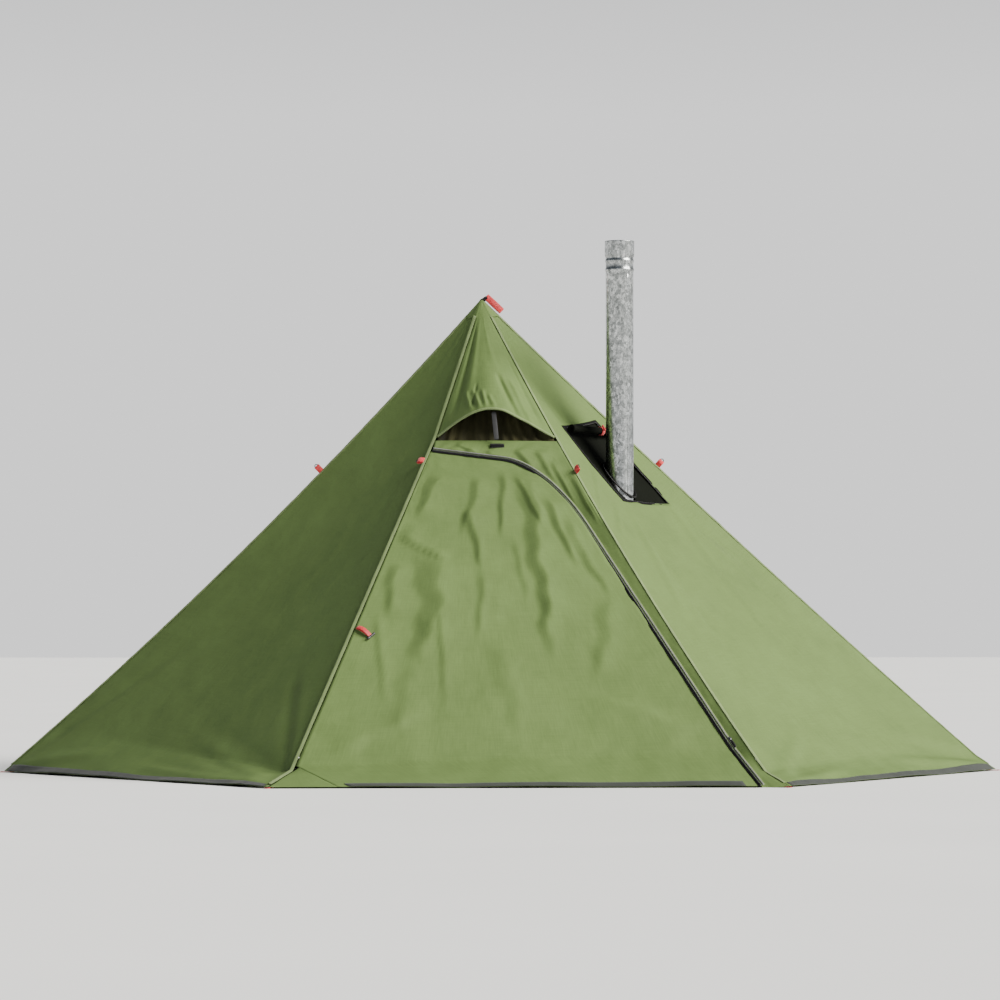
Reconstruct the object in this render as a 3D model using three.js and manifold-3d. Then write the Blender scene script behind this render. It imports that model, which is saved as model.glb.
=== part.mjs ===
// A six-sided single-pole tent with a vented front, a zipped door and a stove-pipe outlet.
// Millimetres, +Z up, ground at z = 0, the door faces -Y. The origin is on the ground,
// midway between the left and right corners.

import * as THREE from 'three';
import Module from 'manifold-3d';
import { mergeVertices } from 'three/addons/utils/BufferGeometryUtils.js';

const wasm = await Module();
wasm.setup();

// ---------- Driving dimensions ----------

const SIDE_REACH = 1600; // centre to the left and right corners
const FRONT_REACH = 1386; // centre to the front and back hems
const FRONT_HALF = 750; // half the length of the front and back hems
const APEX_X = -70; // the peak as pitched stands a little left of centre
const APEX_Z = 1523;
const HEM_LIFT = 5; // lower edge of the cloth above the ground
const CLOTH = 1.5; // thickness of cloth
const TAPE = 1.2; // thickness of webbing, binding and zip tape
const AIR = 0.5; // gap between pieces that are sewn together
const SEAM_INSET = 3; // each panel stops this far from its ridge line
const FRAME_INSET = 4; // and so does the cloth round the door
const PANEL_BOW = 25; // how far the middle of a panel hangs inside its edges
const PEAK_HOLE = 0.012; // panels start at this share of the way from peak to corner
const HEM_SHARE = 0.985; // upper edge of the hem tape

// Shares of the way from peak to corner at which the panels and ridge tapes bend.
const ROWS = [
  PEAK_HOLE, 0.03, 0.1, 0.17, 0.235, 0.32, 0.41, 0.5, 0.59, 0.68, 0.77, 0.85, 0.895, 0.93, 0.96,
  HEM_SHARE, 1,
];

const RIDGE_TAPE_WIDTH = 8; // on each side of a ridge
const DOOR_RIDGE_TAPE_WIDTH = 14; // ridges beside the front carry their tape on the side panel
const FRONT_TAPE_TURN = 1.5; // and turn it over the ridge by this much
const RIDGE_TAPE_AIR = 1.2;
const HEM_TAPE_MARGIN = 24; // from each corner
const HEM_TAPE_AIR = 1;
const ZIP_TAPE_AIR = 1.2;

const VENT_TOP = 0.13; // vent netting, as shares of the way from peak to corner
const VENT_SILL_LEFT = 0.241;
const VENT_SILL_RIGHT = 0.27;
const HOOD_PROUD = 90; // how far the hood's edge is propped out
const HOOD_RISE = 0.016; // share by which the middle of the hood's edge sits higher than its ends

const ZIP_TAPE_WIDTH = 12;
const ZIP_START = { u: 0.02, s: 0.262 };
const ZIP_CROWN = { u: 0.56, s: 0.294 }; // end of the level run over the doorway
const ZIP_SHOULDER = { u: 0.905, s: 0.43 }; // start of the straight run down the side
const ZIP_KNEE = { u: 0.965, s: 0.885 }; // where the skirt turns outwards
const ZIP_END = { u: 0.948, s: 1 };
const ZIP_CROWN_PULL = 95; // handle lengths of the zip's curved corner
const ZIP_SHOULDER_PULL = 150;
const GUSSET_LENGTH = 200; // along the hem, at the door's hinge side

const FLUE_X = 358;
const FLUE_Y = -228;
const FLUE_RADIUS = 44;
const FLUE_WALL = 1;
const FLUE_TOP = 1690;
const FLUE_JOINT = 760; // lower end of the upper length of pipe
const FLUE_SOCKET = 70; // overlap of the two lengths
const FLUE_HOLE_CLEARANCE = 4;

const POLE_RADIUS = 16;
const POLE_WALL = 1.4;
const POLE_LOWER_TOP = 820;
const POLE_UPPER_RADIUS = 13.8;
const POLE_UPPER_BOTTOM = 700;
const POLE_UPPER_TOP = 1466;
const POLE_TIP_RADIUS = 12;

const ROUND = 24; // sides of round parts

// Ridge lines in order round the tent. knee and shoulder are shares of the plan length.
const RIDGES = [
  { name: 'right', x: SIDE_REACH, y: 0, sag: 18, knee: 0.96, kneeZ: 49 },
  { name: 'back_right', x: FRONT_HALF, y: FRONT_REACH, sag: 50, knee: 0.93, kneeZ: 52 },
  { name: 'back_left', x: -FRONT_HALF, y: FRONT_REACH, sag: 50, knee: 0.93, kneeZ: 52 },
  { name: 'left', x: -SIDE_REACH, y: 0, sag: 50, knee: HEM_SHARE, kneeZ: 24 },
  {
    name: 'front_left', x: -FRONT_HALF, y: -FRONT_REACH, sag: 0, knee: 0.895, kneeZ: 44,
    shoulder: 0.235, shoulderZ: 1058,
  },
  { name: 'front_right', x: FRONT_HALF, y: -FRONT_REACH, sag: 57, knee: 0.93, kneeZ: 42 },
];
const RIGHT = 0;
const LEFT = 3;
const FRONT_LEFT = 4;
const FRONT_RIGHT = 5;
const PANELS = ['right_back', 'back', 'left_back', 'left_front', 'front', 'right_front'];
const FRONT = 4;
const RIGHT_FRONT = 5;

// Stove-pipe window in the right front panel: share across the panel, share down it.
const WINDOW = {
  top: 0.243, bottom: 0.39, tilt: 0.06,
  leftTop: 0.287, leftBottom: 0.4, rightTop: 0.83, rightBottom: 0.785,
};
const WINDOW_BINDING = 9;
const JACK_MARGIN = 16;

// ---------- Materials ----------

function material(color, roughness, metalness = 0) {
  return new THREE.MeshStandardMaterial({ color, roughness, metalness });
}

const CLOTH_GREEN = material(0x7d8f52, 0.55);
const RIDGE_GREEN = material(0x8f9f68, 0.6);
const HEM_GREY = material(0x5d6659, 0.7);
const NET_BLACK = material(0x17180f, 0.9);
const JACK_BLACK = material(0x14150e, 0.8);
const BINDING_BLACK = material(0x0d0d0d, 0.75);
const ZIP_BLACK = material(0x0b0b0b, 0.5);
const PIPING_GREY = material(0x9a9d9a, 0.4);
const WEBBING_RED = material(0xd8343a, 0.65);
const PLASTIC_BLACK = material(0x151515, 0.45);
const GALVANISED = material(0xb4b8b9, 0.35, 0.9);
const ALUMINIUM = material(0xa9acaf, 0.35, 0.9);
const RUBBER_BLACK = material(0x1b1b1b, 0.9);
const ZINC = material(0x2b2b2d, 0.4, 0.8);

const tent = new THREE.Group();

function add(name, geometry, finish, position, quaternion) {
  const mesh = new THREE.Mesh(geometry, finish);
  mesh.name = name;
  if (position) mesh.position.copy(position);
  if (quaternion) mesh.quaternion.copy(quaternion);
  tent.add(mesh);
}

// ---------- The tent's surface ----------

const INSIDE = new THREE.Vector3(APEX_X, 0, 350);
const { lerp, clamp } = THREE.MathUtils;

function ridgeHeight(ridge, s) {
  if (s >= ridge.knee) {
    return lerp(ridge.kneeZ, HEM_LIFT, (s - ridge.knee) / (1 - ridge.knee));
  }
  const shoulder = ridge.shoulder ?? 0;
  const shoulderZ = ridge.shoulderZ ?? APEX_Z;
  if (s < shoulder) return lerp(APEX_Z, shoulderZ, s / shoulder);
  const t = (s - shoulder) / (ridge.knee - shoulder);
  return lerp(shoulderZ, ridge.kneeZ, t) - 4 * ridge.sag * t * (1 - t);
}

// Point on a ridge at a share s of the way from peak to corner. Between rows it is straight.
function onRidge(index, s) {
  const ridge = RIDGES[index % RIDGES.length];
  const below = ROWS.findIndex((row) => row >= s - 1e-9);
  const above = below > 0 ? ROWS[below - 1] : 0;
  const share = (s - above) / (ROWS[below] - above);
  const z = lerp(ridgeHeight(ridge, above), ridgeHeight(ridge, ROWS[below]), share);
  return new THREE.Vector3(lerp(APEX_X, ridge.x, s), ridge.y * s, z);
}

function flatNormal(index) {
  const peak = new THREE.Vector3(APEX_X, 0, APEX_Z);
  const a = onRidge(index, 1).sub(peak);
  const b = onRidge(index + 1, 1).sub(peak);
  return a.cross(b).normalize();
}

const NORMALS = PANELS.map((_, index) => flatNormal(index));

// Point on a panel: u across it from one ridge to the next, s down it.
function onPanel(index, u, s, bow = PANEL_BOW) {
  const point = onRidge(index, s).lerp(onRidge(index + 1, s), u);
  const depth = bow * 4 * u * (1 - u) * Math.sin(Math.PI * clamp(s, 0, 1));
  return point.addScaledVector(NORMALS[index], -depth);
}

// Share across a panel that leaves a margin in millimetres at both ridges.
function insetShare(index, share, s, margin = SEAM_INSET) {
  const width = onRidge(index, s).distanceTo(onRidge(index + 1, s));
  return lerp(margin / width, 1 - margin / width, share);
}

// ---------- Solids ----------

function solidFrom(positions, triangles) {
  const geometry = new THREE.BufferGeometry();
  geometry.setAttribute('position', new THREE.Float32BufferAttribute(positions, 3));
  geometry.setIndex(signedVolume(positions, triangles) < 0 ? triangles.toReversed() : triangles);
  geometry.computeVertexNormals();
  return geometry;
}

function signedVolume(positions, triangles) {
  const corner = (n) => new THREE.Vector3().fromArray(positions, triangles[n] * 3);
  let volume = 0;
  for (let n = 0; n < triangles.length; n += 3) {
    volume += corner(n).dot(corner(n + 1).cross(corner(n + 2)));
  }
  return volume;
}

function range(count, from = 0, to = 1) {
  return Array.from({ length: count + 1 }, (_, n) => lerp(from, to, n / count));
}

// Outward unit normals of a grid of points, from its own neighbours.
function gridNormals(grid) {
  const columns = grid.length - 1;
  const rows = grid[0].length - 1;
  return grid.map((line, i) => line.map((point, j) => {
    const east = grid[Math.min(i + 1, columns)][j].clone().sub(grid[Math.max(i - 1, 0)][j]);
    const north = line[Math.min(j + 1, rows)].clone().sub(line[Math.max(j - 1, 0)]);
    const normal = east.cross(north).normalize();
    return normal.dot(point.clone().sub(INSIDE)) < 0 ? normal.negate() : normal;
  }));
}

// Closed sheet on a grid of points. Its outer face stands lift above them.
// Cells that keep refuses are left open, with walls round the opening.
function sheet(grid, thickness = CLOTH, lift = 0, keep = () => true) {
  const normals = gridNormals(grid);
  const columns = grid.length;
  const rows = grid[0].length;
  const positions = [];
  for (const height of [lift, lift - thickness]) {
    for (let i = 0; i < columns; i += 1) {
      for (let j = 0; j < rows; j += 1) {
        const point = grid[i][j].clone().addScaledVector(normals[i][j], height);
        positions.push(point.x, point.y, point.z);
      }
    }
  }
  const inner = columns * rows;
  const kept = (i, j) => i >= 0 && j >= 0 && i < columns - 1 && j < rows - 1 && keep(i, j);
  const triangles = [];
  for (let i = 0; i < columns - 1; i += 1) {
    for (let j = 0; j < rows - 1; j += 1) {
      if (!kept(i, j)) continue;
      const a = i * rows + j;
      const b = (i + 1) * rows + j;
      const c = b + 1;
      const d = a + 1;
      triangles.push(a, b, c, a, c, d);
      triangles.push(inner + a, inner + c, inner + b, inner + a, inner + d, inner + c);
      const edges = [[a, b, i, j - 1], [b, c, i + 1, j], [c, d, i, j + 1], [d, a, i - 1, j]];
      for (const [from, to, ni, nj] of edges) {
        if (kept(ni, nj)) continue;
        triangles.push(to, from, inner + from, to, inner + from, inner + to);
      }
    }
  }
  return solidFrom(positions, triangles);
}

// Grid of points between two curves given as lists of points.
function between(first, last, columns) {
  return range(columns).map((share) => first.map((point, n) => point.clone().lerp(last[n], share)));
}

function manifold(geometry) {
  const bare = new THREE.BufferGeometry();
  bare.setAttribute('position', geometry.getAttribute('position'));
  if (geometry.index) bare.setIndex(geometry.index);
  const merged = mergeVertices(bare);
  return new wasm.Manifold(new wasm.Mesh({
    numProp: 3,
    vertProperties: new Float32Array(merged.getAttribute('position').array),
    triVerts: new Uint32Array(merged.index.array),
  }));
}

function fromManifold(solid) {
  const mesh = solid.getMesh();
  const geometry = new THREE.BufferGeometry();
  geometry.setAttribute('position', new THREE.BufferAttribute(mesh.vertProperties, 3));
  geometry.setIndex(new THREE.BufferAttribute(mesh.triVerts, 1));
  geometry.computeVertexNormals();
  return geometry;
}

// Turned solid round the Z axis from [radius, height] pairs.
function turned(profile, sides = ROUND) {
  const points = profile.map(([radius, height]) => new THREE.Vector2(radius, height));
  const geometry = new THREE.LatheGeometry(points, sides);
  geometry.rotateX(Math.PI / 2);
  return geometry;
}

// Tube open at both ends.
function tube(radius, wall, bottom, top, sides = ROUND) {
  const bore = radius - wall;
  return turned([[bore, bottom], [radius, bottom], [radius, top], [bore, top], [bore, bottom]], sides);
}

function extruded(shape, depth) {
  return new THREE.ExtrudeGeometry(shape, { depth, bevelEnabled: false, curveSegments: 6 });
}

// Orientation whose X axis is forward and whose Z axis is as near up as it can be.
function facing(forward, up) {
  const x = forward.clone().normalize();
  const y = up.clone().cross(x).normalize();
  const z = x.clone().cross(y);
  return new THREE.Quaternion().setFromRotationMatrix(new THREE.Matrix4().makeBasis(x, y, z));
}

// ---------- Panels ----------

function panelGrid(index, shares, rows) {
  return shares.map((share) => rows.map((s) => onPanel(index, insetShare(index, share, s), s)));
}

function addPlainPanels() {
  PANELS.forEach((name, index) => {
    if (index === FRONT || index === RIGHT_FRONT) return;
    add(`panel_${name}`, sheet(panelGrid(index, range(4), ROWS)), CLOTH_GREEN);
  });
}

// Share across the right front panel of the window's side lines at share s down it.
function windowSide(top, bottom, s) {
  const t = (s - WINDOW.top) / (WINDOW.bottom - WINDOW.top);
  return lerp(top, bottom, clamp(t, 0, 1.4));
}

function windowLeft(s) {
  return windowSide(WINDOW.leftTop, WINDOW.leftBottom, s);
}

function windowRight(s) {
  return windowSide(WINDOW.rightTop, WINDOW.rightBottom, s);
}

// Point in the window's own square, a across it and b down it, grown by two margins.
function onWindow(a, b, marginAcross = 0, marginDown = marginAcross) {
  const s = lerp(WINDOW.top, WINDOW.bottom, b);
  const grow = marginAcross / onRidge(RIGHT_FRONT, s).distanceTo(onRidge(RIGHT, s));
  const u = lerp(windowLeft(s) - grow, windowRight(s) + grow, a);
  const slope = onRidge(RIGHT, 1).distanceTo(onRidge(RIGHT, 0));
  const down = (2 * b - 1) * (marginDown / slope);
  return onPanel(RIGHT_FRONT, u, s + WINDOW.tilt * b * (u - 0.5) + down);
}

function addWindowPanel() {
  const { top, bottom, tilt } = WINDOW;
  const rows = [...ROWS, top, bottom].sort((a, b) => a - b);
  const first = rows.indexOf(top);
  const last = rows.indexOf(bottom);
  const columns = range(6, 0, 3);
  const grid = columns.map((column) => rows.map((s) => {
    let u = lerp(windowLeft(s), windowRight(s), clamp(column - 1, 0, 1));
    if (column < 1) u = lerp(insetShare(RIGHT_FRONT, 0, s), u, column);
    if (column > 2) u = lerp(u, insetShare(RIGHT_FRONT, 1, s), column - 2);
    const b = clamp((s - top) / (bottom - top), 0, 1);
    const below = s > bottom ? (1 - s) / (1 - bottom) : 1;
    const beside = clamp(Math.min(column, 3 - column), 0, 1);
    return onPanel(RIGHT_FRONT, u, s + tilt * b * below * beside * (u - 0.5));
  }));
  const solid = (i, j) => !(i >= 2 && i < 4 && j >= first && j < last);
  add('panel_right_front', sheet(grid, CLOTH, 0, solid), CLOTH_GREEN);
}

// ---------- Vent ----------

function ventSill(u) {
  return lerp(VENT_SILL_LEFT, VENT_SILL_RIGHT, u);
}

// a runs across the hood, b from the peak to its propped edge.
function onHood(a, b) {
  const edge = ventSill(a) - 0.006 - HOOD_RISE * Math.sin(Math.PI * a);
  const s = lerp(PEAK_HOLE, edge, b);
  const proud = HOOD_PROUD * Math.sin(Math.PI * a) * b ** 1.5;
  return onPanel(FRONT, insetShare(FRONT, a, s), s, 0).addScaledVector(NORMALS[FRONT], proud);
}

function addVent() {
  const hood = range(10).map((a) => range(6).map((b) => onHood(a, b)));
  add('vent_hood', sheet(hood), CLOTH_GREEN);

  const net = range(2).map((a) => range(2).map((b) => {
    const s = lerp(VENT_TOP, ventSill(a) + 0.006, b);
    return onPanel(FRONT, insetShare(FRONT, a, s, 8), s, 0);
  }));
  add('vent_net', sheet(net, 1, -CLOTH - 2), NET_BLACK);
}

const PROP_WIDTH = 16;
const PROP_THICKNESS = 2.5;
const PROP_TOP = onHood(0.51, 1).add(new THREE.Vector3(0, 2, -6));
const PROP_SHARE = 0.53; // where the prop stands across the front
const PROP_SILL = onPanel(FRONT, PROP_SHARE, ventSill(PROP_SHARE) + 0.004, 0);
const PROP_FOOT = PROP_SILL.addScaledVector(NORMALS[FRONT], 5);

function addProp() {
  const length = PROP_TOP.distanceTo(PROP_FOOT);
  const strip = new THREE.Shape();
  strip.moveTo(-PROP_WIDTH / 2, 0);
  strip.lineTo(PROP_WIDTH / 2, 0);
  strip.lineTo(PROP_WIDTH / 2, length - PROP_WIDTH / 2);
  strip.absarc(0, length - PROP_WIDTH / 2, PROP_WIDTH / 2, 0, Math.PI, false);
  const geometry = extruded(strip, PROP_THICKNESS);
  geometry.rotateZ(-Math.PI / 2);
  geometry.translate(0, 0, -PROP_THICKNESS / 2);
  const down = PROP_FOOT.clone().sub(PROP_TOP);
  const outward = new THREE.Vector3(0, -1, 0);
  add('vent_prop', geometry, PLASTIC_BLACK, PROP_TOP, facing(down, outward));
}

// ---------- Zip, door and the front round it ----------

const at = ({ u, s }) => onPanel(FRONT, u, s, 0);
const zipStart = at(ZIP_START);
const zipCrown = at(ZIP_CROWN);
const zipShoulder = at(ZIP_SHOULDER);
const zipKnee = at(ZIP_KNEE);
const zipEnd = at(ZIP_END);
const zipDown = zipKnee.clone().sub(zipShoulder).normalize();
const zipAlong = zipCrown.clone().sub(zipStart).normalize();

const zipCorner = new THREE.CubicBezierCurve3(
  zipCrown,
  zipCrown.clone().addScaledVector(zipAlong, ZIP_CROWN_PULL),
  zipShoulder.clone().addScaledVector(zipDown, -ZIP_SHOULDER_PULL),
  zipShoulder,
);

const LEVEL_STEPS = 4;
const CORNER_STEPS = 8;
const STRAIGHT_STEPS = 8;
const ZIP_POINTS = [
  ...range(LEVEL_STEPS).map((t) => zipStart.clone().lerp(zipCrown, t)),
  ...range(CORNER_STEPS).slice(1).map((t) => zipCorner.getPoint(t)),
  ...range(STRAIGHT_STEPS).slice(1).map((t) => zipShoulder.clone().lerp(zipKnee, t)),
  zipEnd,
];
const CORNER_MIDDLE = LEVEL_STEPS + CORNER_STEPS / 2;
const SHOULDER = LEVEL_STEPS + CORNER_STEPS;
const KNEE = SHOULDER + STRAIGHT_STEPS;

// Unit directions across the zip, away from the door, in the plane of the front.
const ZIP_ACROSS = ZIP_POINTS.map((point, n) => {
  const before = ZIP_POINTS[Math.max(n - 1, 0)];
  const after = ZIP_POINTS[Math.min(n + 1, KNEE + 1)];
  const along = after.clone().sub(before).normalize();
  return NORMALS[FRONT].clone().cross(along).normalize();
});

function zipLine(offset) {
  return ZIP_POINTS.map((point, n) => {
    const across = ZIP_ACROSS[n].clone();
    if (n === KNEE + 1) across.set(Math.sign(across.x), 0, 0);
    return point.clone().addScaledVector(across, offset);
  });
}

// Share down the tent at each point of the zip.
function shareDown(n, first) {
  if (n <= SHOULDER) return lerp(first, ZIP_SHOULDER.s, n / SHOULDER);
  return lerp(ZIP_SHOULDER.s, ZIP_KNEE.s, Math.min(1, (n - SHOULDER) / STRAIGHT_STEPS));
}

const GUSSET_TOP_WIDTH = new THREE.Vector3(3, 0, -0.5);
const GUSSET_GAP = new THREE.Vector3(3, 0, 0); // between the gusset and the foot of the door
const GUSSET_CORNER = onRidge(FRONT_LEFT, 1).add(new THREE.Vector3(GUSSET_LENGTH, 0, 0));

function hingeLine() {
  return ZIP_POINTS.map((_, n) => {
    if (n > KNEE) return GUSSET_CORNER.clone().add(new THREE.Vector3(1, 0, 0));
    const s = shareDown(n, ZIP_START.s + 0.004);
    return onPanel(FRONT, insetShare(FRONT, 0, s), s, 0);
  });
}

function frontOuterLine() {
  return ZIP_POINTS.map((_, n) => {
    if (n > KNEE) return onPanel(FRONT, insetShare(FRONT, 1, 1, FRAME_INSET), 1, 0);
    if (n <= CORNER_MIDDLE) {
      const share = n / CORNER_MIDDLE;
      const s = ventSill(share);
      return onPanel(FRONT, insetShare(FRONT, share, s, FRAME_INSET), s, 0);
    }
    const first = VENT_SILL_RIGHT;
    const s = n <= SHOULDER
      ? lerp(first, ZIP_SHOULDER.s, (n - CORNER_MIDDLE) / (SHOULDER - CORNER_MIDDLE))
      : shareDown(n, first);
    return onPanel(FRONT, insetShare(FRONT, 1, s, FRAME_INSET), s, 0);
  });
}

// Strip beside the zip that lies on the cloth between it and the line beyond.
function tapeGrid(beyond) {
  const across = ZIP_POINTS.map((point, n) => {
    const from = Math.max(n, 1);
    const away = beyond[from].clone().sub(ZIP_POINTS[from]);
    if (n <= KNEE) {
      const next = ZIP_POINTS[Math.min(n + 1, KNEE)];
      const along = next.clone().sub(ZIP_POINTS[Math.max(n - 1, 0)]).normalize();
      away.addScaledVector(along, -along.dot(away));
    }
    return away.normalize();
  });
  return [1, ZIP_TAPE_WIDTH].map((offset) => ZIP_POINTS.map(
    (point, n) => point.clone().addScaledVector(across[n], offset)));
}

function addFront() {
  const door = between(hingeLine(), zipLine(-1), 4);
  add('front_surround', sheet(between(zipLine(1), frontOuterLine(), 2)), CLOTH_GREEN);
  add('door_flap', sheet(door), CLOTH_GREEN);
  const doorTape = tapeGrid(hingeLine());
  const frameTape = tapeGrid(frontOuterLine());
  add('zip_tape_door', sheet(doorTape, TAPE, ZIP_TAPE_AIR + TAPE), ZIP_BLACK);
  add('zip_tape_frame', sheet(frameTape, TAPE, ZIP_TAPE_AIR + TAPE), PIPING_GREY);

  const skirtDepth = (1 - HEM_SHARE) / (1 - ZIP_KNEE.s);
  const hem = range(4, 0.03, 0.97).map((share) => {
    const upper = door[0][KNEE].clone().lerp(door[4][KNEE], share);
    const lower = door[0][KNEE + 1].clone().lerp(door[4][KNEE + 1], share);
    return [lower.clone().lerp(upper, skirtDepth), lower];
  });
  add('hem_tape_door', sheet(hem, TAPE, AIR + TAPE), HEM_GREY);

  const footShare = RIDGES[FRONT_LEFT].knee + 0.004;
  const foot = onPanel(FRONT, insetShare(FRONT, 0, footShare), footShare, 0);
  const corner = onPanel(FRONT, insetShare(FRONT, 0, 1), 1, 0);
  const gusset = [
    [foot.clone(), corner],
    [foot.clone().add(GUSSET_TOP_WIDTH), GUSSET_CORNER.clone().sub(GUSSET_GAP)],
  ];
  add('corner_gusset', sheet(gusset), CLOTH_GREEN);
}

// ---------- Tapes ----------

// Line down a panel, width millimetres from the ridge at its first or second side.
function besideRidge(panel, side, width, rows) {
  return rows.map((s) => onPanel(panel, insetShare(panel, side, s, width), s));
}

function addRidgeTapes() {
  const rows = ROWS.slice(1, -1);
  RIDGES.forEach((ridge, index) => {
    const before = (index + PANELS.length - 1) % PANELS.length;
    let left = RIDGE_TAPE_WIDTH;
    let right = RIDGE_TAPE_WIDTH;
    if (index === FRONT_LEFT) [left, right] = [DOOR_RIDGE_TAPE_WIDTH, FRONT_TAPE_TURN];
    if (index === FRONT_RIGHT) [left, right] = [FRONT_TAPE_TURN, DOOR_RIDGE_TAPE_WIDTH];
    const grid = [
      besideRidge(before, 1, left, rows),
      rows.map((s) => onRidge(index, s)),
      besideRidge(index, 0, right, rows),
    ];
    add(`ridge_tape_${ridge.name}`, sheet(grid, TAPE, TAPE + RIDGE_TAPE_AIR), RIDGE_GREEN);
  });
}

function addHemTapes() {
  PANELS.forEach((name, index) => {
    if (index === FRONT) return;
    const shares = range(4).map((share) => insetShare(index, share, 1, HEM_TAPE_MARGIN));
    const grid = shares.map((u) => [HEM_SHARE, 1].map((s) => onPanel(index, u, s)));
    add(`hem_tape_${name}`, sheet(grid, TAPE, HEM_TAPE_AIR + TAPE), HEM_GREY);
  });
}

// ---------- Peak ----------

const CROWN_REACH = 0.1;
const CROWN_DROP = 18;
const CROWN_THICKNESS = 3;

function addCrown() {
  const positions = [];
  for (const drop of [CROWN_DROP, CROWN_DROP + CROWN_THICKNESS]) {
    const points = [onRidge(0, 0), ...RIDGES.map((_, index) => onRidge(index, CROWN_REACH))];
    for (const point of points) positions.push(point.x, point.y, point.z - drop);
  }
  const inner = RIDGES.length + 1;
  const triangles = [];
  RIDGES.forEach((_, index) => {
    const a = 1 + index;
    const b = 1 + ((index + 1) % RIDGES.length);
    triangles.push(0, a, b, inner, inner + b, inner + a);
    triangles.push(b, a, inner + a, b, inner + a, inner + b);
  });
  add('crown_patch', solidFrom(positions, triangles), JACK_BLACK);
}

// Flat loop of webbing: a plate with round ends and a round-ended hole near its far end.
function loopPlate(length, width, hole, thickness, start = 0) {
  const half = width / 2;
  const plate = new THREE.Shape();
  plate.moveTo(start, -half);
  plate.lineTo(length - half, -half);
  plate.absarc(length - half, 0, half, -Math.PI / 2, Math.PI / 2, false);
  plate.lineTo(start, half);
  const opening = new THREE.Path();
  opening.absarc(length - half, 0, hole.radius, -Math.PI / 2, Math.PI / 2, false);
  opening.absarc(length - half - hole.length, 0, hole.radius, Math.PI / 2, Math.PI * 1.5, false);
  plate.holes.push(opening);
  const geometry = extruded(plate, thickness);
  geometry.translate(0, 0, -thickness / 2);
  return geometry;
}

// The strap is 22 wide, and folded back on itself round an eye that opens across its width.
const HANG_LOOP = { length: 70, width: 17, thickness: 22, hole: { radius: 6, length: 28 } };
const HANG_LOOP_ANGLE = THREE.MathUtils.degToRad(-43);
const HANG_LOOP_BASE = new THREE.Vector3(APEX_X + 14, 0, APEX_Z + 8);

function addHangLoop() {
  const { length, width, hole, thickness } = HANG_LOOP;
  const forward = new THREE.Vector3(Math.cos(HANG_LOOP_ANGLE), 0, Math.sin(HANG_LOOP_ANGLE));
  const upward = new THREE.Vector3(-forward.z, 0, forward.x);
  const turn = facing(forward, upward);
  add('hang_loop', loopPlate(length, width, hole, thickness), WEBBING_RED, HANG_LOOP_BASE, turn);
}

// ---------- Guy loops and peg loops ----------

const GUY_LOOP = { length: 27, width: 18, thickness: 2, hole: { radius: 6, length: 0.5 } };
const GUY_SHARES = [0.34, 0.33, 0.33, 0.337, 0.285, 0.33];
const GUY_STANDOFF = 4.5;

function addGuyLoops() {
  RIDGES.forEach((ridge, index) => {
    const s = GUY_SHARES[index];
    const base = onRidge(index, s);
    const along = onRidge(index, s + 0.01).sub(onRidge(index, s - 0.01)).normalize();
    const before = (index + PANELS.length - 1) % PANELS.length;
    let forward = NORMALS[before].clone().add(NORMALS[index]).normalize();
    if (index === FRONT_LEFT) {
      const lying = along.clone().cross(NORMALS[LEFT]).normalize();
      forward = lying.addScaledVector(NORMALS[LEFT], 0.3).normalize();
      base.addScaledVector(NORMALS[LEFT], 5);
    }
    base.addScaledVector(forward, GUY_STANDOFF);
    const side = along.clone().cross(forward);
    const { length, width, hole, thickness } = GUY_LOOP;
    const geometry = loopPlate(length, width, hole, thickness);
    add(`guy_loop_${ridge.name}`, geometry, WEBBING_RED, base, facing(forward, side));
  });
}

const PEG_LOOP = { tail: 34, reach: 11.5, width: 13, thickness: 2, hole: { radius: 4, length: 0.5 } };

function addPegLoops() {
  RIDGES.forEach((ridge, index) => {
    const corner = new THREE.Vector3(ridge.x, ridge.y, PEG_LOOP.thickness / 2);
    const forward = new THREE.Vector3(ridge.x, ridge.y, 0).normalize();
    const { reach, width, hole, thickness, tail } = PEG_LOOP;
    const geometry = loopPlate(reach, width, hole, thickness, -tail);
    const turn = facing(forward, new THREE.Vector3(0, 0, 1));
    add(`peg_loop_${ridge.name}`, geometry, WEBBING_RED, corner, turn);
  });
}

// ---------- Stove-pipe outlet ----------

const ROLL_RADIUS = 13;
const ROLL_LEFT = onWindow(0, 0.06); // the roll hangs a little below the top of the window
const ROLL_RIGHT = onWindow(1, 0.16);
const ROLL_DIRECTION = ROLL_RIGHT.clone().sub(ROLL_LEFT).normalize();
const ROLL_AXIS_LIFT = ROLL_RADIUS + 4;

function addJack() {
  const cloth = range(4).map((a) => range(4).map((b) => onWindow(a, b, JACK_MARGIN)));
  const hole = new THREE.CylinderGeometry(
    FLUE_RADIUS + FLUE_HOLE_CLEARANCE, FLUE_RADIUS + FLUE_HOLE_CLEARANCE, 600, ROUND);
  hole.rotateX(Math.PI / 2);
  hole.translate(FLUE_X, FLUE_Y, 900);
  const cut = manifold(sheet(cloth, CLOTH, -CLOTH - 1.5)).subtract(manifold(hole));
  add('stove_jack', fromManifold(cut), JACK_BLACK);

  const rim = [[0, WINDOW_BINDING], [0, -2], [0.5, -2], [1, -2], [1, WINDOW_BINDING]];
  const binding = rim.map(([a, across]) => rim.map(([b, down]) => onWindow(a, b, across, down)));
  const solid = (i, j) => i === 0 || j === 0 || i === 3 || j === 3;
  add('stove_jack_binding', sheet(binding, TAPE, AIR + TAPE, solid), BINDING_BLACK);
}

function rollPoint(share) {
  const lift = NORMALS[RIGHT_FRONT].clone().multiplyScalar(ROLL_AXIS_LIFT);
  return ROLL_LEFT.clone().lerp(ROLL_RIGHT, share).add(lift);
}

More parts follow.
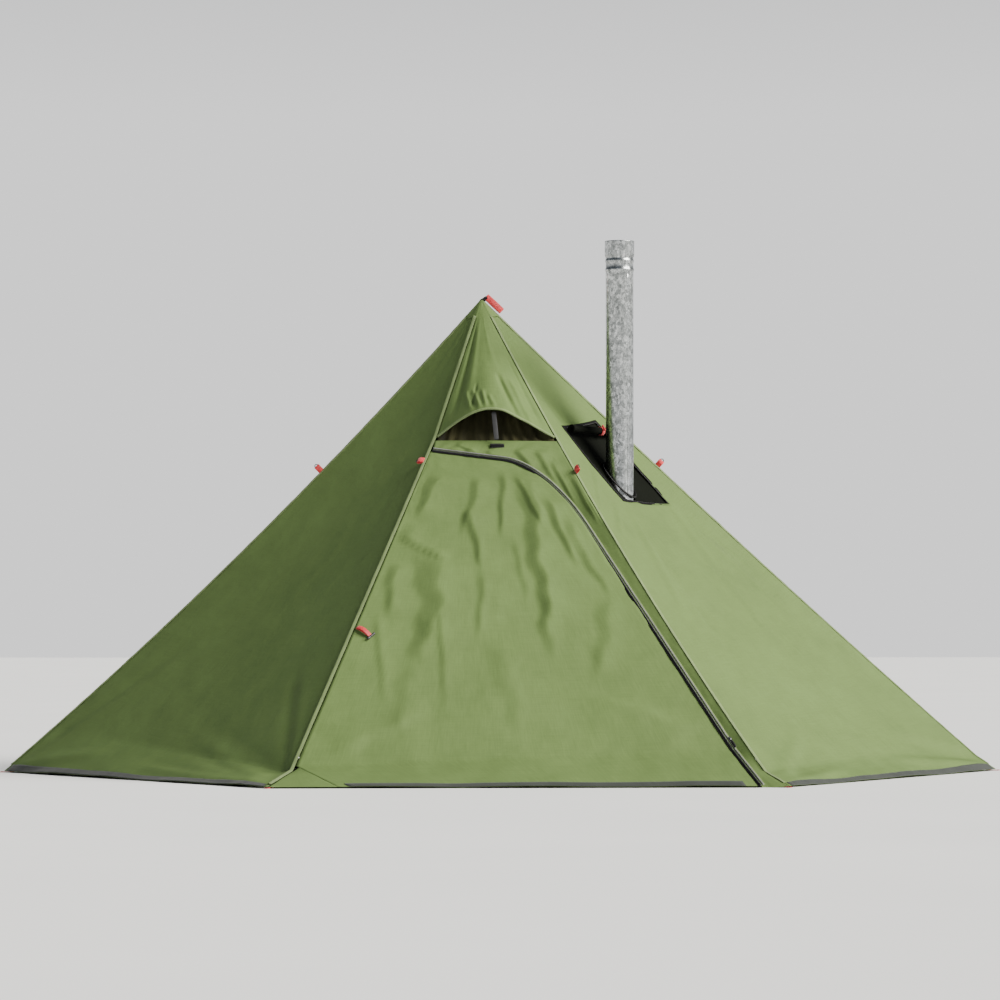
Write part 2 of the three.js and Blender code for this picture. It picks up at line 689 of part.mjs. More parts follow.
function addRoll() {
  const length = ROLL_LEFT.distanceTo(ROLL_RIGHT) * 0.96;
  const roll = new THREE.Shape();
  const tail = 2;
  roll.absarc(0, 0, ROLL_RADIUS, Math.PI * 1.5 + 0.2, Math.PI * 1.5 - 0.2 + Math.PI * 2, false);
  roll.lineTo(-tail, -ROLL_AXIS_LIFT + TAPE + AIR + 1);
  roll.lineTo(tail, -ROLL_AXIS_LIFT + TAPE + AIR + 1);
  const geometry = extruded(roll, length);
  geometry.rotateY(Math.PI / 2);
  geometry.rotateX(Math.PI / 2);
  const turn = facing(ROLL_DIRECTION, NORMALS[RIGHT_FRONT]);
  add('jack_flap_roll', geometry, JACK_BLACK, rollPoint(0.02), turn);

  const inner = ROLL_RADIUS + 0.6;
  const outer = inner + 2;
  const band = tube(outer, 2, -8, 8, 16);
  band.rotateY(Math.PI / 2);
  const gap = new THREE.BoxGeometry(40, 7, 20).translate(0, 0, -ROLL_AXIS_LIFT + 4);
  const tie = fromManifold(manifold(band).subtract(manifold(gap)));
  add('jack_flap_tie', tie, WEBBING_RED, rollPoint(0.74), turn);

  const toggle = turned([[0, -13], [4, -11], [3, 0], [4, 11], [0, 13]], 10);
  toggle.rotateX(Math.PI / 2);
  toggle.translate(0, 0, outer + 4.5);
  add('jack_flap_toggle', toggle, WEBBING_RED, rollPoint(0.74), turn);
}

function addFlue() {
  const place = new THREE.Vector3(FLUE_X, FLUE_Y, 0);
  const bore = FLUE_RADIUS - FLUE_WALL;
  const neck = bore - 0.6;
  const neckTop = FLUE_JOINT + FLUE_SOCKET;
  add('flue_lower', turned([
    [bore, 0], [FLUE_RADIUS, 0], [FLUE_RADIUS, FLUE_JOINT - 3], [neck, FLUE_JOINT + 3],
    [neck, neckTop], [neck - FLUE_WALL, neckTop], [neck - FLUE_WALL, FLUE_JOINT + 3],
    [bore, FLUE_JOINT - 3], [bore, 0],
  ]), GALVANISED, place);

  const beadTops = [FLUE_TOP - 64, FLUE_TOP - 92];
  const capRadius = FLUE_RADIUS + 3;
  const outside = [[FLUE_RADIUS, FLUE_JOINT + 5]];
  for (const bead of beadTops.toReversed()) {
    outside.push([FLUE_RADIUS, bead - 6], [FLUE_RADIUS + 2.5, bead], [FLUE_RADIUS, bead + 6]);
  }
  outside.push([FLUE_RADIUS, FLUE_TOP - 52], [capRadius, FLUE_TOP - 48], [capRadius, FLUE_TOP]);
  const inside = outside.map(([radius, height]) => [radius - FLUE_WALL, height]).toReversed();
  add('flue_upper', turned([...outside, ...inside, outside[0]]), GALVANISED, place);
}

// ---------- Pole ----------

const CLAMP_RADIUS = 23;
const CLAMP_HEIGHT = 42;
const LEVER_LENGTH = 58;

function addPole() {
  const place = new THREE.Vector3(APEX_X, 0, 0);
  const footTop = 34;
  add('pole_foot', turned([
    [0, 0], [26, 0], [26, 5], [20, 12], [19, footTop], [POLE_RADIUS + 0.4, footTop],
    [POLE_RADIUS + 0.4, 8], [0, 8],
  ]), RUBBER_BLACK, place);
  add('pole_lower', tube(POLE_RADIUS, POLE_WALL, 8.5, POLE_LOWER_TOP), ALUMINIUM, place);
  const upper = tube(POLE_UPPER_RADIUS, POLE_WALL, POLE_UPPER_BOTTOM, POLE_UPPER_TOP);
  add('pole_upper', upper, ALUMINIUM, place);

  const plug = POLE_UPPER_RADIUS - POLE_WALL - 0.4;
  const ballZ = POLE_UPPER_TOP + 14;
  const ball = range(6, -0.9, Math.PI / 2).map((angle) => [
    POLE_TIP_RADIUS * Math.cos(angle), ballZ + POLE_TIP_RADIUS * Math.sin(angle),
  ]);
  ball[ball.length - 1][0] = 0;
  add('pole_tip', turned([
    [0, POLE_UPPER_TOP - 25], [plug, POLE_UPPER_TOP - 25], [plug, POLE_UPPER_TOP + 0.5],
    [POLE_UPPER_RADIUS, POLE_UPPER_TOP + 0.5], [POLE_UPPER_RADIUS, POLE_UPPER_TOP + 3], ...ball,
  ]), RUBBER_BLACK, place);

  const clampBottom = POLE_LOWER_TOP - 26;
  const clampTop = clampBottom + CLAMP_HEIGHT;
  const grip = POLE_RADIUS + 0.4;
  const neck = POLE_UPPER_RADIUS + 0.4;
  const collar = turned([
    [grip, clampBottom], [CLAMP_RADIUS, clampBottom], [CLAMP_RADIUS, clampTop], [neck, clampTop],
    [neck, POLE_LOWER_TOP + 0.5], [grip, POLE_LOWER_TOP + 0.5], [grip, clampBottom],
  ]);
  const ear = new THREE.BoxGeometry(16, 5, 16);
  const ears = [-10, 10].map((y) => ear.clone().translate(CLAMP_RADIUS + 4, y, clampBottom + 30));
  let body = manifold(collar);
  for (const piece of ears) body = body.add(manifold(piece));
  const bore = tube(grip, 8, clampBottom - 5, POLE_LOWER_TOP + 0.5);
  body = body.subtract(manifold(bore));
  add('pole_clamp', fromManifold(body), PLASTIC_BLACK, place);

  const lever = new THREE.Shape();
  lever.moveTo(-5, 5);
  lever.absarc(0, 0, 6, Math.PI * 0.75, Math.PI * 0.02, true);
  lever.lineTo(6, -LEVER_LENGTH + 4);
  lever.lineTo(3, -LEVER_LENGTH);
  lever.lineTo(-0.5, -LEVER_LENGTH);
  lever.lineTo(-0.5, -6);
  lever.lineTo(-5, -3);
  const blade = extruded(lever, 14);
  blade.rotateX(Math.PI / 2);
  blade.translate(0, 7, 0);
  const pivot = new THREE.Vector3(APEX_X + CLAMP_RADIUS + 6, 0, clampBottom + 30);
  add('pole_clamp_lever', blade, PLASTIC_BLACK, pivot);
}

// ---------- Zip slider and door tie ----------

const SLIDER_SIDE = 7.5; // the slider sits on the frame's half of the zip
const SLIDER_UP = 40; // above the knee of the zip
const SLIDER_LIFT = ZIP_TAPE_AIR + TAPE + 0.6;

function addSlider() {
  const up = zipDown.clone().negate();
  const n = NORMALS[FRONT];
  const across = ZIP_ACROSS[SHOULDER + 2];
  const face = across.clone().cross(up).normalize();
  if (face.dot(n) < 0) face.negate();
  const spot = zipKnee.clone().addScaledVector(up, SLIDER_UP).addScaledVector(across, SLIDER_SIDE);

  const body = new THREE.Shape();
  body.moveTo(-8, -4);
  body.lineTo(6, -5);
  body.lineTo(9, -2.5);
  body.lineTo(9, 2.5);
  body.lineTo(6, 5);
  body.lineTo(-8, 4);
  const shell = extruded(body, 3.5);
  add('zip_slider', shell, ZINC, spot.clone().addScaledVector(face, SLIDER_LIFT), facing(up, face));

  const pull = loopPlate(34, 8, { radius: 2.2, length: 6 }, 1.4);
  const pullAt = spot.clone().addScaledVector(face, SLIDER_LIFT + 3.5 + 1.4).addScaledVector(up, -2);
  add('zip_pull', pull, BINDING_BLACK, pullAt, facing(up.clone().negate(), face));
}

const TIE_SHARE = 0.625;
const TIE_STRAP = { length: 48, rootWidth: 14, tipWidth: 12, thickness: 2, lift: 3 };
const TIE_TOGGLE_AT = { along: 54, lift: 4 };

function addDoorTie() {
  const s = TIE_SHARE;
  const base = onPanel(FRONT, insetShare(FRONT, 0, s, 10), s, 0);
  const along = onRidge(FRONT_LEFT, s + 0.01).sub(onRidge(FRONT_LEFT, s - 0.01)).normalize();
  const across = NORMALS[FRONT].clone().cross(along).normalize();
  if (across.x < 0) across.negate();
  const face = along.clone().cross(across).normalize();
  if (face.dot(NORMALS[FRONT]) < 0) face.negate();
  const forward = across.clone().addScaledVector(along, 0.45).normalize();
  const start = base.addScaledVector(face, TIE_STRAP.lift);

  const strap = new THREE.Shape();
  strap.moveTo(0, -TIE_STRAP.rootWidth / 2);
  strap.lineTo(TIE_STRAP.length, -TIE_STRAP.tipWidth / 2);
  strap.lineTo(TIE_STRAP.length, TIE_STRAP.tipWidth / 2);
  strap.lineTo(0, TIE_STRAP.rootWidth / 2);
  const turn = facing(forward, face);
  add('door_tie_strap', extruded(strap, TIE_STRAP.thickness), WEBBING_RED, start, turn);

  const toggle = turned([[0, -16], [4.5, -13], [3.5, 0], [4.5, 13], [0, 16]], 10);
  toggle.rotateX(Math.PI / 2);
  toggle.translate(TIE_TOGGLE_AT.along, 0, TIE_TOGGLE_AT.lift);
  add('door_tie_toggle', toggle, PLASTIC_BLACK, start, turn);
}

const VENT_TAB = { length: 44, width: 16, thickness: 1.6, lift: 3, drop: 0.012 };

function addVentTab() {
  const s = ventSill(PROP_SHARE) + VENT_TAB.drop;
  const centre = onPanel(FRONT, PROP_SHARE, s, 0);
  const across = new THREE.Vector3(1, 0, 0);
  const normal = NORMALS[FRONT];
  const tab = new THREE.BoxGeometry(VENT_TAB.length, VENT_TAB.width, VENT_TAB.thickness);
  const place = centre.addScaledVector(normal, VENT_TAB.lift);
  add('vent_tab', tab, BINDING_BLACK, place, facing(across, normal));
}

addPlainPanels();
addWindowPanel();
addVent();
addProp();
addFront();
addRidgeTapes();
addHemTapes();
addCrown();
addHangLoop();
addGuyLoops();
addPegLoops();
addJack();
addRoll();
addFlue();
addPole();
addSlider();
addDoorTie();
addVentTab();

export default tent;
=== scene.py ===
import math

import bpy
import numpy as np
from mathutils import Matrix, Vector, noise


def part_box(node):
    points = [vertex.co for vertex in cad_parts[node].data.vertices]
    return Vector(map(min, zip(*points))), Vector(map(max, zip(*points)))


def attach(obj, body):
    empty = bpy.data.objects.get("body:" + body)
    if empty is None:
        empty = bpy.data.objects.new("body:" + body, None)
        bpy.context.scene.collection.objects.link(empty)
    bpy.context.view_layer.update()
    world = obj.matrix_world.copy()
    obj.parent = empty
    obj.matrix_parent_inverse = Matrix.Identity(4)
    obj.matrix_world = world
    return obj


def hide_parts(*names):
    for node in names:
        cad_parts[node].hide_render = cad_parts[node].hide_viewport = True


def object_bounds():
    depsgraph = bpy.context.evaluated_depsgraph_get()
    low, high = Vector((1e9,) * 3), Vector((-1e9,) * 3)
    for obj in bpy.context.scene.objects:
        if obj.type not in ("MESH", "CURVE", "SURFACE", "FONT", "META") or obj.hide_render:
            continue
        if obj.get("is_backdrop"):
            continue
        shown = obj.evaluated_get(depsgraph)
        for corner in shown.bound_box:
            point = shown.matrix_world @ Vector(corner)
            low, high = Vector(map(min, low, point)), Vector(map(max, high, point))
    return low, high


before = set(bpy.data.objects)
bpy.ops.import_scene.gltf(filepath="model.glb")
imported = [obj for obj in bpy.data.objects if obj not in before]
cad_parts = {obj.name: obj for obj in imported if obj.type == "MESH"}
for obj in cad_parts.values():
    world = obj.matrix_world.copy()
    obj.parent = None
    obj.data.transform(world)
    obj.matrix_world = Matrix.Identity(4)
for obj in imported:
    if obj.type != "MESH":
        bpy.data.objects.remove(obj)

CAD_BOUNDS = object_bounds()

# ---------- Driving dimensions, in metres ----------

PEG_REACH = 0.0115  # how far a peg loop reaches past its corner
SEAM_INSET = 0.003
SIDE_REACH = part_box("peg_loop_right")[1][0] - PEG_REACH
FRONT_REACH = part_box("panel_back")[1][1]
FRONT_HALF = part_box("panel_back")[1][0] + SEAM_INSET
APEX_X = (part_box("pole_foot")[0][0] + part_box("pole_foot")[1][0]) / 2
CROWN_DROP = 0.018
APEX_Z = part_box("crown_patch")[1][2] + CROWN_DROP
HEM_LIFT = 0.005
PANEL_BOW = 0.025
PEAK_TIP = 0.009
HEM_SHARE = 0.985
CLOTH = 0.0009
TAPE = 0.0011

# ---------- Camera ----------

CAMERA_AWAY = 8 * SIDE_REACH
CAMERA_UP = 0.2777 * SIDE_REACH
CAMERA_TURN = 0.0531
CAMERA_AIM_LEFT = 0.00083
CAMERA_PITCH = math.radians(1.922)
CAMERA_LENS = 142.9


def make_camera():
    data = bpy.data.cameras.new("camera")
    data.lens = CAMERA_LENS
    data.sensor_width = 36
    data.clip_end = 100
    camera = bpy.data.objects.new("camera", data)
    bpy.context.collection.objects.link(camera)
    x = -CAMERA_AWAY * math.sin(CAMERA_TURN)
    y = -CAMERA_AWAY * math.cos(CAMERA_TURN)
    camera.location = (x, y, CAMERA_UP)
    turn = -CAMERA_TURN + CAMERA_AIM_LEFT
    camera.rotation_euler = (math.pi / 2 + CAMERA_PITCH, 0, turn)
    bpy.context.scene.camera = camera


make_camera()

# ---------- Light ----------

KEY_FROM = (0.75, -0.36, 0.56)
KEY_STRENGTH = 9.8
KEY_SPREAD = math.radians(38)
SKY_STRENGTH = 1.15

# ---------- The tent's surface ----------

RIGHT, BACK_RIGHT, BACK_LEFT, LEFT, FRONT_LEFT, FRONT_RIGHT = range(6)
RIDGES = [
    dict(name="right", x=SIDE_REACH, y=0, sag=0.018, knee=0.96, knee_z=0.049),
    dict(name="back_right", x=FRONT_HALF, y=FRONT_REACH, sag=0.05, knee=0.93, knee_z=0.052),
    dict(name="back_left", x=-FRONT_HALF, y=FRONT_REACH, sag=0.05, knee=0.93, knee_z=0.052),
    dict(name="left", x=-SIDE_REACH, y=0, sag=0.05, knee=HEM_SHARE, knee_z=0.024),
    dict(
        name="front_left", x=-FRONT_HALF, y=-FRONT_REACH, sag=0, knee=0.895, knee_z=0.044,
        shoulder=0.235, shoulder_z=1.058,
    ),
    dict(name="front_right", x=FRONT_HALF, y=-FRONT_REACH, sag=0.057, knee=0.93, knee_z=0.042),
]
PANELS = ["right_back", "back", "left_back", "left_front", "front", "right_front"]
FRONT = 4
RIGHT_FRONT = 5
UP = np.array([0, 0, 1.0])
BACKWARD = np.array([0, 1.0, 0])
PEAK = np.array([APEX_X, 0, APEX_Z])
KNEE_ROUND = 0.008


def lerp(a, b, t):
    return a + (b - a) * t


def smooth(t):
    t = np.clip(t, 0, 1)
    return t * t * (3 - 2 * t)


def unit(v):
    return np.asarray(v, float) / np.linalg.norm(v)


def ridge(index, s):
    """Points on a ridge at shares s of the way from peak to corner."""
    r = RIDGES[index % 6]
    s = np.asarray(s, float)
    shoulder = r.get("shoulder", 0)
    shoulder_z = r.get("shoulder_z", APEX_Z)
    t = (s - shoulder) / (r["knee"] - shoulder)
    middle = lerp(shoulder_z, r["knee_z"], t) - 4 * r["sag"] * t * (1 - t)
    top = lerp(APEX_Z, shoulder_z, s / max(shoulder, 1e-6))
    skirt = lerp(r["knee_z"], HEM_LIFT, (s - r["knee"]) / (1 - r["knee"]))
    z = np.where(s < shoulder, top, middle)
    z = lerp(z, skirt, np.clip((s - r["knee"]) / KNEE_ROUND + 0.5, 0, 1))
    return np.stack([lerp(APEX_X, r["x"], s), r["y"] * s, z], axis=-1)


def flat_normal(index):
    return unit(np.cross(ridge(index, 1.0) - PEAK, ridge(index + 1, 1.0) - PEAK))


NORMALS = [flat_normal(index) for index in range(6)]


def on_panel(index, u, s, bow=PANEL_BOW):
    """Points on a panel: u across it from one ridge to the next, s down it."""
    u, s = np.broadcast_arrays(np.asarray(u, float), np.asarray(s, float))
    points = lerp(ridge(index, s), ridge(index + 1, s), u[..., None])
    depth = bow * 4 * u * (1 - u) * np.sin(math.pi * np.clip(s, 0, 1))
    return points - NORMALS[index] * depth[..., None]


def width_at(index, s):
    return np.linalg.norm(ridge(index, s) - ridge(index + 1, s), axis=-1)


def inset(index, share, s, margin=SEAM_INSET):
    edge = margin / width_at(index, s)
    return lerp(edge, 1 - edge, share)


# ---------- Folds and creases ----------


def noise_at(points, scale, seed, octaves=3):
    """Fractal noise from about -1 to 1 at every point of a grid."""
    flat = np.asarray(points, float).reshape(-1, 3) * scale + seed * 7.31
    values = [noise.fractal(Vector(p), 1.0, 2.0, octaves) for p in flat]
    return np.array(values).reshape(np.asarray(points).shape[:-1])


def plan(index, points):
    """Distances across and down a panel, in metres, of points near it."""
    base = unit(ridge(index + 1, 1.0) - ridge(index, 1.0))
    down = unit(np.cross(base, NORMALS[index]))
    if down[2] > 0:
        down = -down
    away = points - PEAK
    return away @ base, away @ down


def fold_height(index, points, folds):
    """Sum of long soft folds. Each is (u, s) to (u, s), width and height in millimetres."""
    x, y = plan(index, points)
    total = np.zeros(x.shape)
    for u0, s0, u1, s1, width, height in folds:
        ax, ay = plan(index, on_panel(index, u0, s0))
        bx, by = plan(index, on_panel(index, u1, s1))
        run = np.array([bx - ax, by - ay])
        length = np.hypot(*run)
        run = run / length
        t = ((x - ax) * run[0] + (y - ay) * run[1]) / length
        off = ((x - ax) * -run[1] + (y - ay) * run[0]) / (width / 1000)
        taper = smooth(np.clip(t / 0.25 + 0.3, 0, 1)) * smooth(np.clip((1 - t) / 0.35 + 0.1, 0, 1))
        # a fold is steep on one side and has a shallow trough on the other
        shape = np.exp(-off * off) - 0.45 * np.exp(-((off - 1.6) ** 2))
        total += height / 1000 * shape * taper
    return total


FOLDS = {
    0: [
        (0.02, 0.97, 0.35, 0.62, 34, 5), (0.02, 0.95, 0.22, 0.5, 26, -4), (0.98, 0.97, 0.7, 0.66, 34, 5),
        (0.5, 0.04, 0.46, 0.5, 26, 4), (0.62, 0.05, 0.66, 0.38, 20, -3), (0.98, 0.93, 0.8, 0.5, 24, -3),
    ],
    1: [
        (0.02, 0.97, 0.32, 0.64, 34, 5), (0.02, 0.94, 0.17, 0.5, 24, -4), (0.98, 0.97, 0.66, 0.6, 36, 5),
        (0.98, 0.94, 0.84, 0.52, 24, -3), (0.42, 0.05, 0.4, 0.45, 22, 4), (0.56, 0.05, 0.6, 0.6, 30, -4),
    ],
    2: [
        (0.02, 0.97, 0.3, 0.6, 34, 5), (0.98, 0.97, 0.66, 0.64, 34, 5), (0.98, 0.95, 0.85, 0.48, 24, -4),
        (0.48, 0.05, 0.5, 0.5, 24, 4), (0.35, 0.06, 0.3, 0.4, 20, -3),
    ],
    3: [
        (0.98, 0.985, 0.62, 0.93, 24, 7), (0.97, 0.96, 0.55, 0.86, 30, 6), (0.97, 0.93, 0.78, 0.7, 24, -5),
        (0.02, 0.985, 0.3, 0.93, 26, 6), (0.02, 0.96, 0.22, 0.66, 28, -3), (0.9, 0.985, 0.45, 0.955, 16, 5),
        (0.95, 0.95, 0.7, 0.9, 18, 4),
    ],
    4: [],
    5: [
        (0.02, 0.985, 0.36, 0.955, 20, 7), (0.03, 0.97, 0.3, 0.86, 26, 6), (0.98, 0.985, 0.6, 0.945, 20, 8),
        (0.98, 0.97, 0.7, 0.9, 26, -6), (0.785, 0.4, 0.62, 0.7, 20, 5), (0.785, 0.4, 0.86, 0.66, 20, -4),
        (0.4, 0.4, 0.2, 0.62, 18, 5), (0.4, 0.4, 0.3, 0.72, 24, -4), (0.287, 0.24, 0.16, 0.17, 10, 2),
        (0.3, 0.39, 0.08, 0.46, 9, 4), (0.3, 0.33, 0.06, 0.4, 8, 3), (0.78, 0.41, 0.9, 0.56, 9, 4),
    ],
}


def relief(index, u, s, folds=None):
    """How far the cloth stands out of its plain surface."""
    points = on_panel(index, u, s)
    across = np.minimum(u, 1 - u) * width_at(index, s)
    held = smooth(across / 0.06)
    soft = 0.003 * noise_at(points * np.array([1.0, 1.0, 0.6]), 2.1, index + 1, 2)
    small = 0.0011 * noise_at(points, 13, index + 20, 4)
    crease = 0.0009 * (1 - np.abs(noise_at(points, 4.3, index + 40, 3)) * 3).clip(0, 1)
    peak = 0.0022 * np.sin(u * 27 + index) * np.exp(-s / 0.06)
    wave = np.sin(u * 11 + index * 1.7) + 0.6 * np.sin(u * 26 + index)
    hem = 0.0022 * wave * smooth((s - 0.93) / 0.07)
    pucker = 0.0009 * noise_at(points, 42, index + 60, 2) * np.exp(-across / 0.03)
    long_folds = fold_height(index, points, FOLDS[index] if folds is None else folds)
    return held * (soft + crease + peak + hem + long_folds) + smooth(across / 0.012) * (small + pucker)


def cloth_points(index, u, s, lift=0.0, bow=PANEL_BOW):
    u, s = np.broadcast_arrays(np.asarray(u, float), np.asarray(s, float))
    height = relief(index, u, s) + lift
    return on_panel(index, u, s, bow) + NORMALS[index] * height[..., None]


# ---------- Mesh makers ----------

INSIDE = np.array([APEX_X, 0, 0.35])


def grid_normals(grid):
    east = np.gradient(grid, axis=0)
    south = np.gradient(grid, axis=1)
    normals = np.cross(east, south)
    normals /= np.maximum(np.linalg.norm(normals, axis=-1, keepdims=True), 1e-12)
    return normals


def new_object(name, vertices, faces, finish, coordinates=None, flat=False):
    mesh = bpy.data.meshes.new(name)
    mesh.from_pydata([tuple(map(float, v)) for v in vertices], [], [tuple(map(int, f)) for f in faces])
    if coordinates is not None:
        layer = mesh.uv_layers.new(name="metres")
        index = np.zeros(len(mesh.loops), dtype=np.int64)
        mesh.loops.foreach_get("vertex_index", index)
        layer.data.foreach_set("uv", np.asarray(coordinates, dtype=np.float32)[index].ravel())
    mesh.materials.append(finish)
    mesh.polygons.foreach_set("use_smooth", [not flat] * len(mesh.polygons))
    mesh.update()
    obj = bpy.data.objects.new(name, mesh)
    bpy.context.collection.objects.link(obj)
    return obj


def slab(name, grid, finish, thickness=CLOTH, keep=None, outward=None):
    """Closed thin sheet whose outer face is a grid of points. keep(i, j) picks its cells."""
    columns, rows = grid.shape[:2]
    normals = grid_normals(grid)
    middle = (columns // 2, rows // 2)
    way = outward if outward is not None else grid[middle] - INSIDE
    flip = float(np.dot(normals[middle], way)) < 0
    if flip:
        normals = -normals
    vertices = np.concatenate([grid.reshape(-1, 3), (grid - normals * thickness).reshape(-1, 3)])
    across = np.concatenate([[0], np.cumsum(np.linalg.norm(np.diff(grid, axis=0), axis=-1).mean(axis=1))])
    down = np.concatenate([[0], np.cumsum(np.linalg.norm(np.diff(grid, axis=1), axis=-1).mean(axis=0))])
    u, v = np.meshgrid(across, down, indexing="ij")
    coordinates = np.tile(np.stack([u.ravel(), v.ravel()], axis=1), (2, 1))
    inner = columns * rows
    kept = np.ones((columns + 1, rows + 1), bool)
    kept[-1, :] = False
    kept[:, -1] = False
    kept[columns - 1, :] = False
    kept[:, rows - 1] = False
    if keep is not None:
        for i in range(columns - 1):
            for j in range(rows - 1):
                kept[i, j] = keep(i, j)
    faces = []
    for i in range(columns - 1):
        for j in range(rows - 1):
            if not kept[i, j]:
                continue
            a = i * rows + j
            b = (i + 1) * rows + j
            c = b + 1
            d = a + 1
            ring = [a, b, c, d]
            if flip:
                ring = ring[::-1]
            faces.append(ring)
            faces.append([inner + n for n in ring[::-1]])
            sides = [(a, b, i, j - 1), (b, c, i + 1, j), (c, d, i, j + 1), (d, a, i - 1, j)]
            for start, end, ni, nj in sides:
                if ni >= 0 and nj >= 0 and kept[ni, nj]:
                    continue
                wall = [end, start, inner + start, inner + end]
                faces.append(wall[::-1] if flip else wall)
    used = sorted({n for face in faces for n in face})
    lookup = {n: k for k, n in enumerate(used)}
    faces = [[lookup[n] for n in face] for face in faces]
    return new_object(name, vertices[used], faces, finish, coordinates[used])


def path_frames(points, up=None):
    """Tangents with two sideways directions carried along a path."""
    points = np.asarray(points, float)
    tangents = np.gradient(points, axis=0)
    tangents /= np.linalg.norm(tangents, axis=1, keepdims=True)
    first = UP if up is None else np.asarray(up, float)
    if abs(np.dot(first, tangents[0])) > 0.95:
        first = np.array([1.0, 0, 0])
    side = unit(np.cross(tangents[0], first))
    frames = []
    for tangent in tangents:
        side = unit(side - tangent * np.dot(side, tangent))
        frames.append((side, np.cross(side, tangent)))
    return tangents, frames


def side_faces(rings, count, closed):
    """Faces between neighbouring rings of count points; closed joins the last ring to the first."""
    faces = []
    for n in range(rings if closed else rings - 1):
        m = (n + 1) % rings
        for k in range(count):
            j = (k + 1) % count
            faces.append((n * count + k, m * count + k, m * count + j, n * count + j))
    return faces


def swept(name, points, outline, finish, closed=False, up=None, scale=None):
    """Solid with a constant outline of (side, up) pairs along a path."""
    points = np.asarray(points, float)
    if closed:
        ring = np.concatenate([points[-2:-1], points, points[1:2]])
        _, frames = path_frames(ring, up)
        points = ring[1:-2]
        frames = frames[1:-2]
    else:
        _, frames = path_frames(points, up)
    count = len(outline)
    vertices = []
    coordinates = []
    lengths = np.concatenate([[0], np.cumsum(np.linalg.norm(np.diff(points, axis=0), axis=1))])
    around = np.concatenate([[0], np.cumsum(np.linalg.norm(np.diff(outline, axis=0), axis=1))])
    for n, (point, (side, rise)) in enumerate(zip(points, frames)):
        size = 1.0 if scale is None else scale[n]
        for k, (a, b) in enumerate(outline):
            vertices.append(point + (side * a + rise * b) * size)
            coordinates.append((around[k], lengths[n]))
    faces = side_faces(len(points), count, closed)
    if not closed:
        faces.append(tuple(range(count)))
        faces.append(tuple(reversed(range((len(points) - 1) * count, len(points) * count))))
    return make_outward(new_object(name, vertices, faces, finish, coordinates))


def make_outward(obj):
    """Turns a closed mesh right side out."""
    mesh = obj.data
    volume = 0.0
    for face in mesh.polygons:
        corners = [mesh.vertices[n].co for n in face.vertices]
        for k in range(1, len(corners) - 1):
            volume += corners[0].dot(corners[k].cross(corners[k + 1]))
    if volume < 0:
        mesh.flip_normals()
    return obj


def circle(radius, count=10, squash=1.0):
    angles = np.linspace(0, 2 * math.pi, count, endpoint=False)
    return [(radius * math.cos(a), radius * squash * math.sin(a)) for a in angles]


def rounded_bar(width, thickness, steps=3):
    """Outline of a flat strap with rounded edges."""
    r = thickness / 2
    outline = []
    for side, start in ((1, -math.pi / 2), (-1, math.pi / 2)):
        for k in range(steps + 1):
            angle = start + math.pi * k / steps
            outline.append((side * (width / 2 - r) + r * math.cos(angle), r * math.sin(angle)))
    return outline


def lathe(name, profile, centre, finish, sides=96):
    """Turned solid round an upright axis from a closed loop of (radius, height)."""
    count = len(profile)
    vertices = []
    coordinates = []
    for n in range(sides):
        angle = 2 * math.pi * n / sides
        for radius, height in profile:
            x = centre[0] + radius * math.cos(angle)
            y = centre[1] + radius * math.sin(angle)
            vertices.append((x, y, height))
            coordinates.append((angle * PIPE_RADIUS, height))
    faces = side_faces(sides, count, True)
    return make_outward(new_object(name, vertices, faces, finish, coordinates))


def turned_about(name, profile, start, axis, finish, sides=24):
    """Turned solid along any axis from (radius, distance) pairs that start and end on the axis."""
    axis = unit(axis)
    side = unit(np.cross(axis, [0.3, 0.9, 0.31]))
    other = np.cross(axis, side)
    inner = profile[1:-1]
    count = len(inner)
    vertices = [start + axis * profile[0][1], start + axis * profile[-1][1]]
    for n in range(sides):
        angle = 2 * math.pi * n / sides
        out = side * math.cos(angle) + other * math.sin(angle)
        vertices += [start + axis * d + out * r for r, d in inner]
    faces = []
    for n in range(sides):
        m = (n + 1) % sides
        a = 2 + n * count
        b = 2 + m * count
        faces.append((0, a, b))
        faces += [(a + k, a + k + 1, b + k + 1, b + k) for k in range(count - 1)]
        faces.append((1, b + count - 1, a + count - 1))
    return make_outward(new_object(name, vertices, faces, finish))


def corners(node):
    """Low and high corner of a CAD node's box."""
    return [np.array(corner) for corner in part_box(node)]


def settle(obj, body, slot, *nodes):
    """Every piece rides on a body and hides the solids it stands for; slot, the name of its finish, is not
    used.
    """
    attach(obj, body)
    if nodes:
        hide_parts(*nodes)
    return obj


# ---------- Materials ----------


def paint_ramp(node, stops):
    """Colours a ramp from (position, colour) pairs, where a bare number is a grey."""
    elements = node.color_ramp.elements
    while len(elements) < len(stops):
        elements.new(0.5)
    for element, (position, colour) in zip(elements, stops):
        if isinstance(colour, (int, float)):
            colour = (colour,) * 3
        element.position = position
        element.color = (*colour, 1)


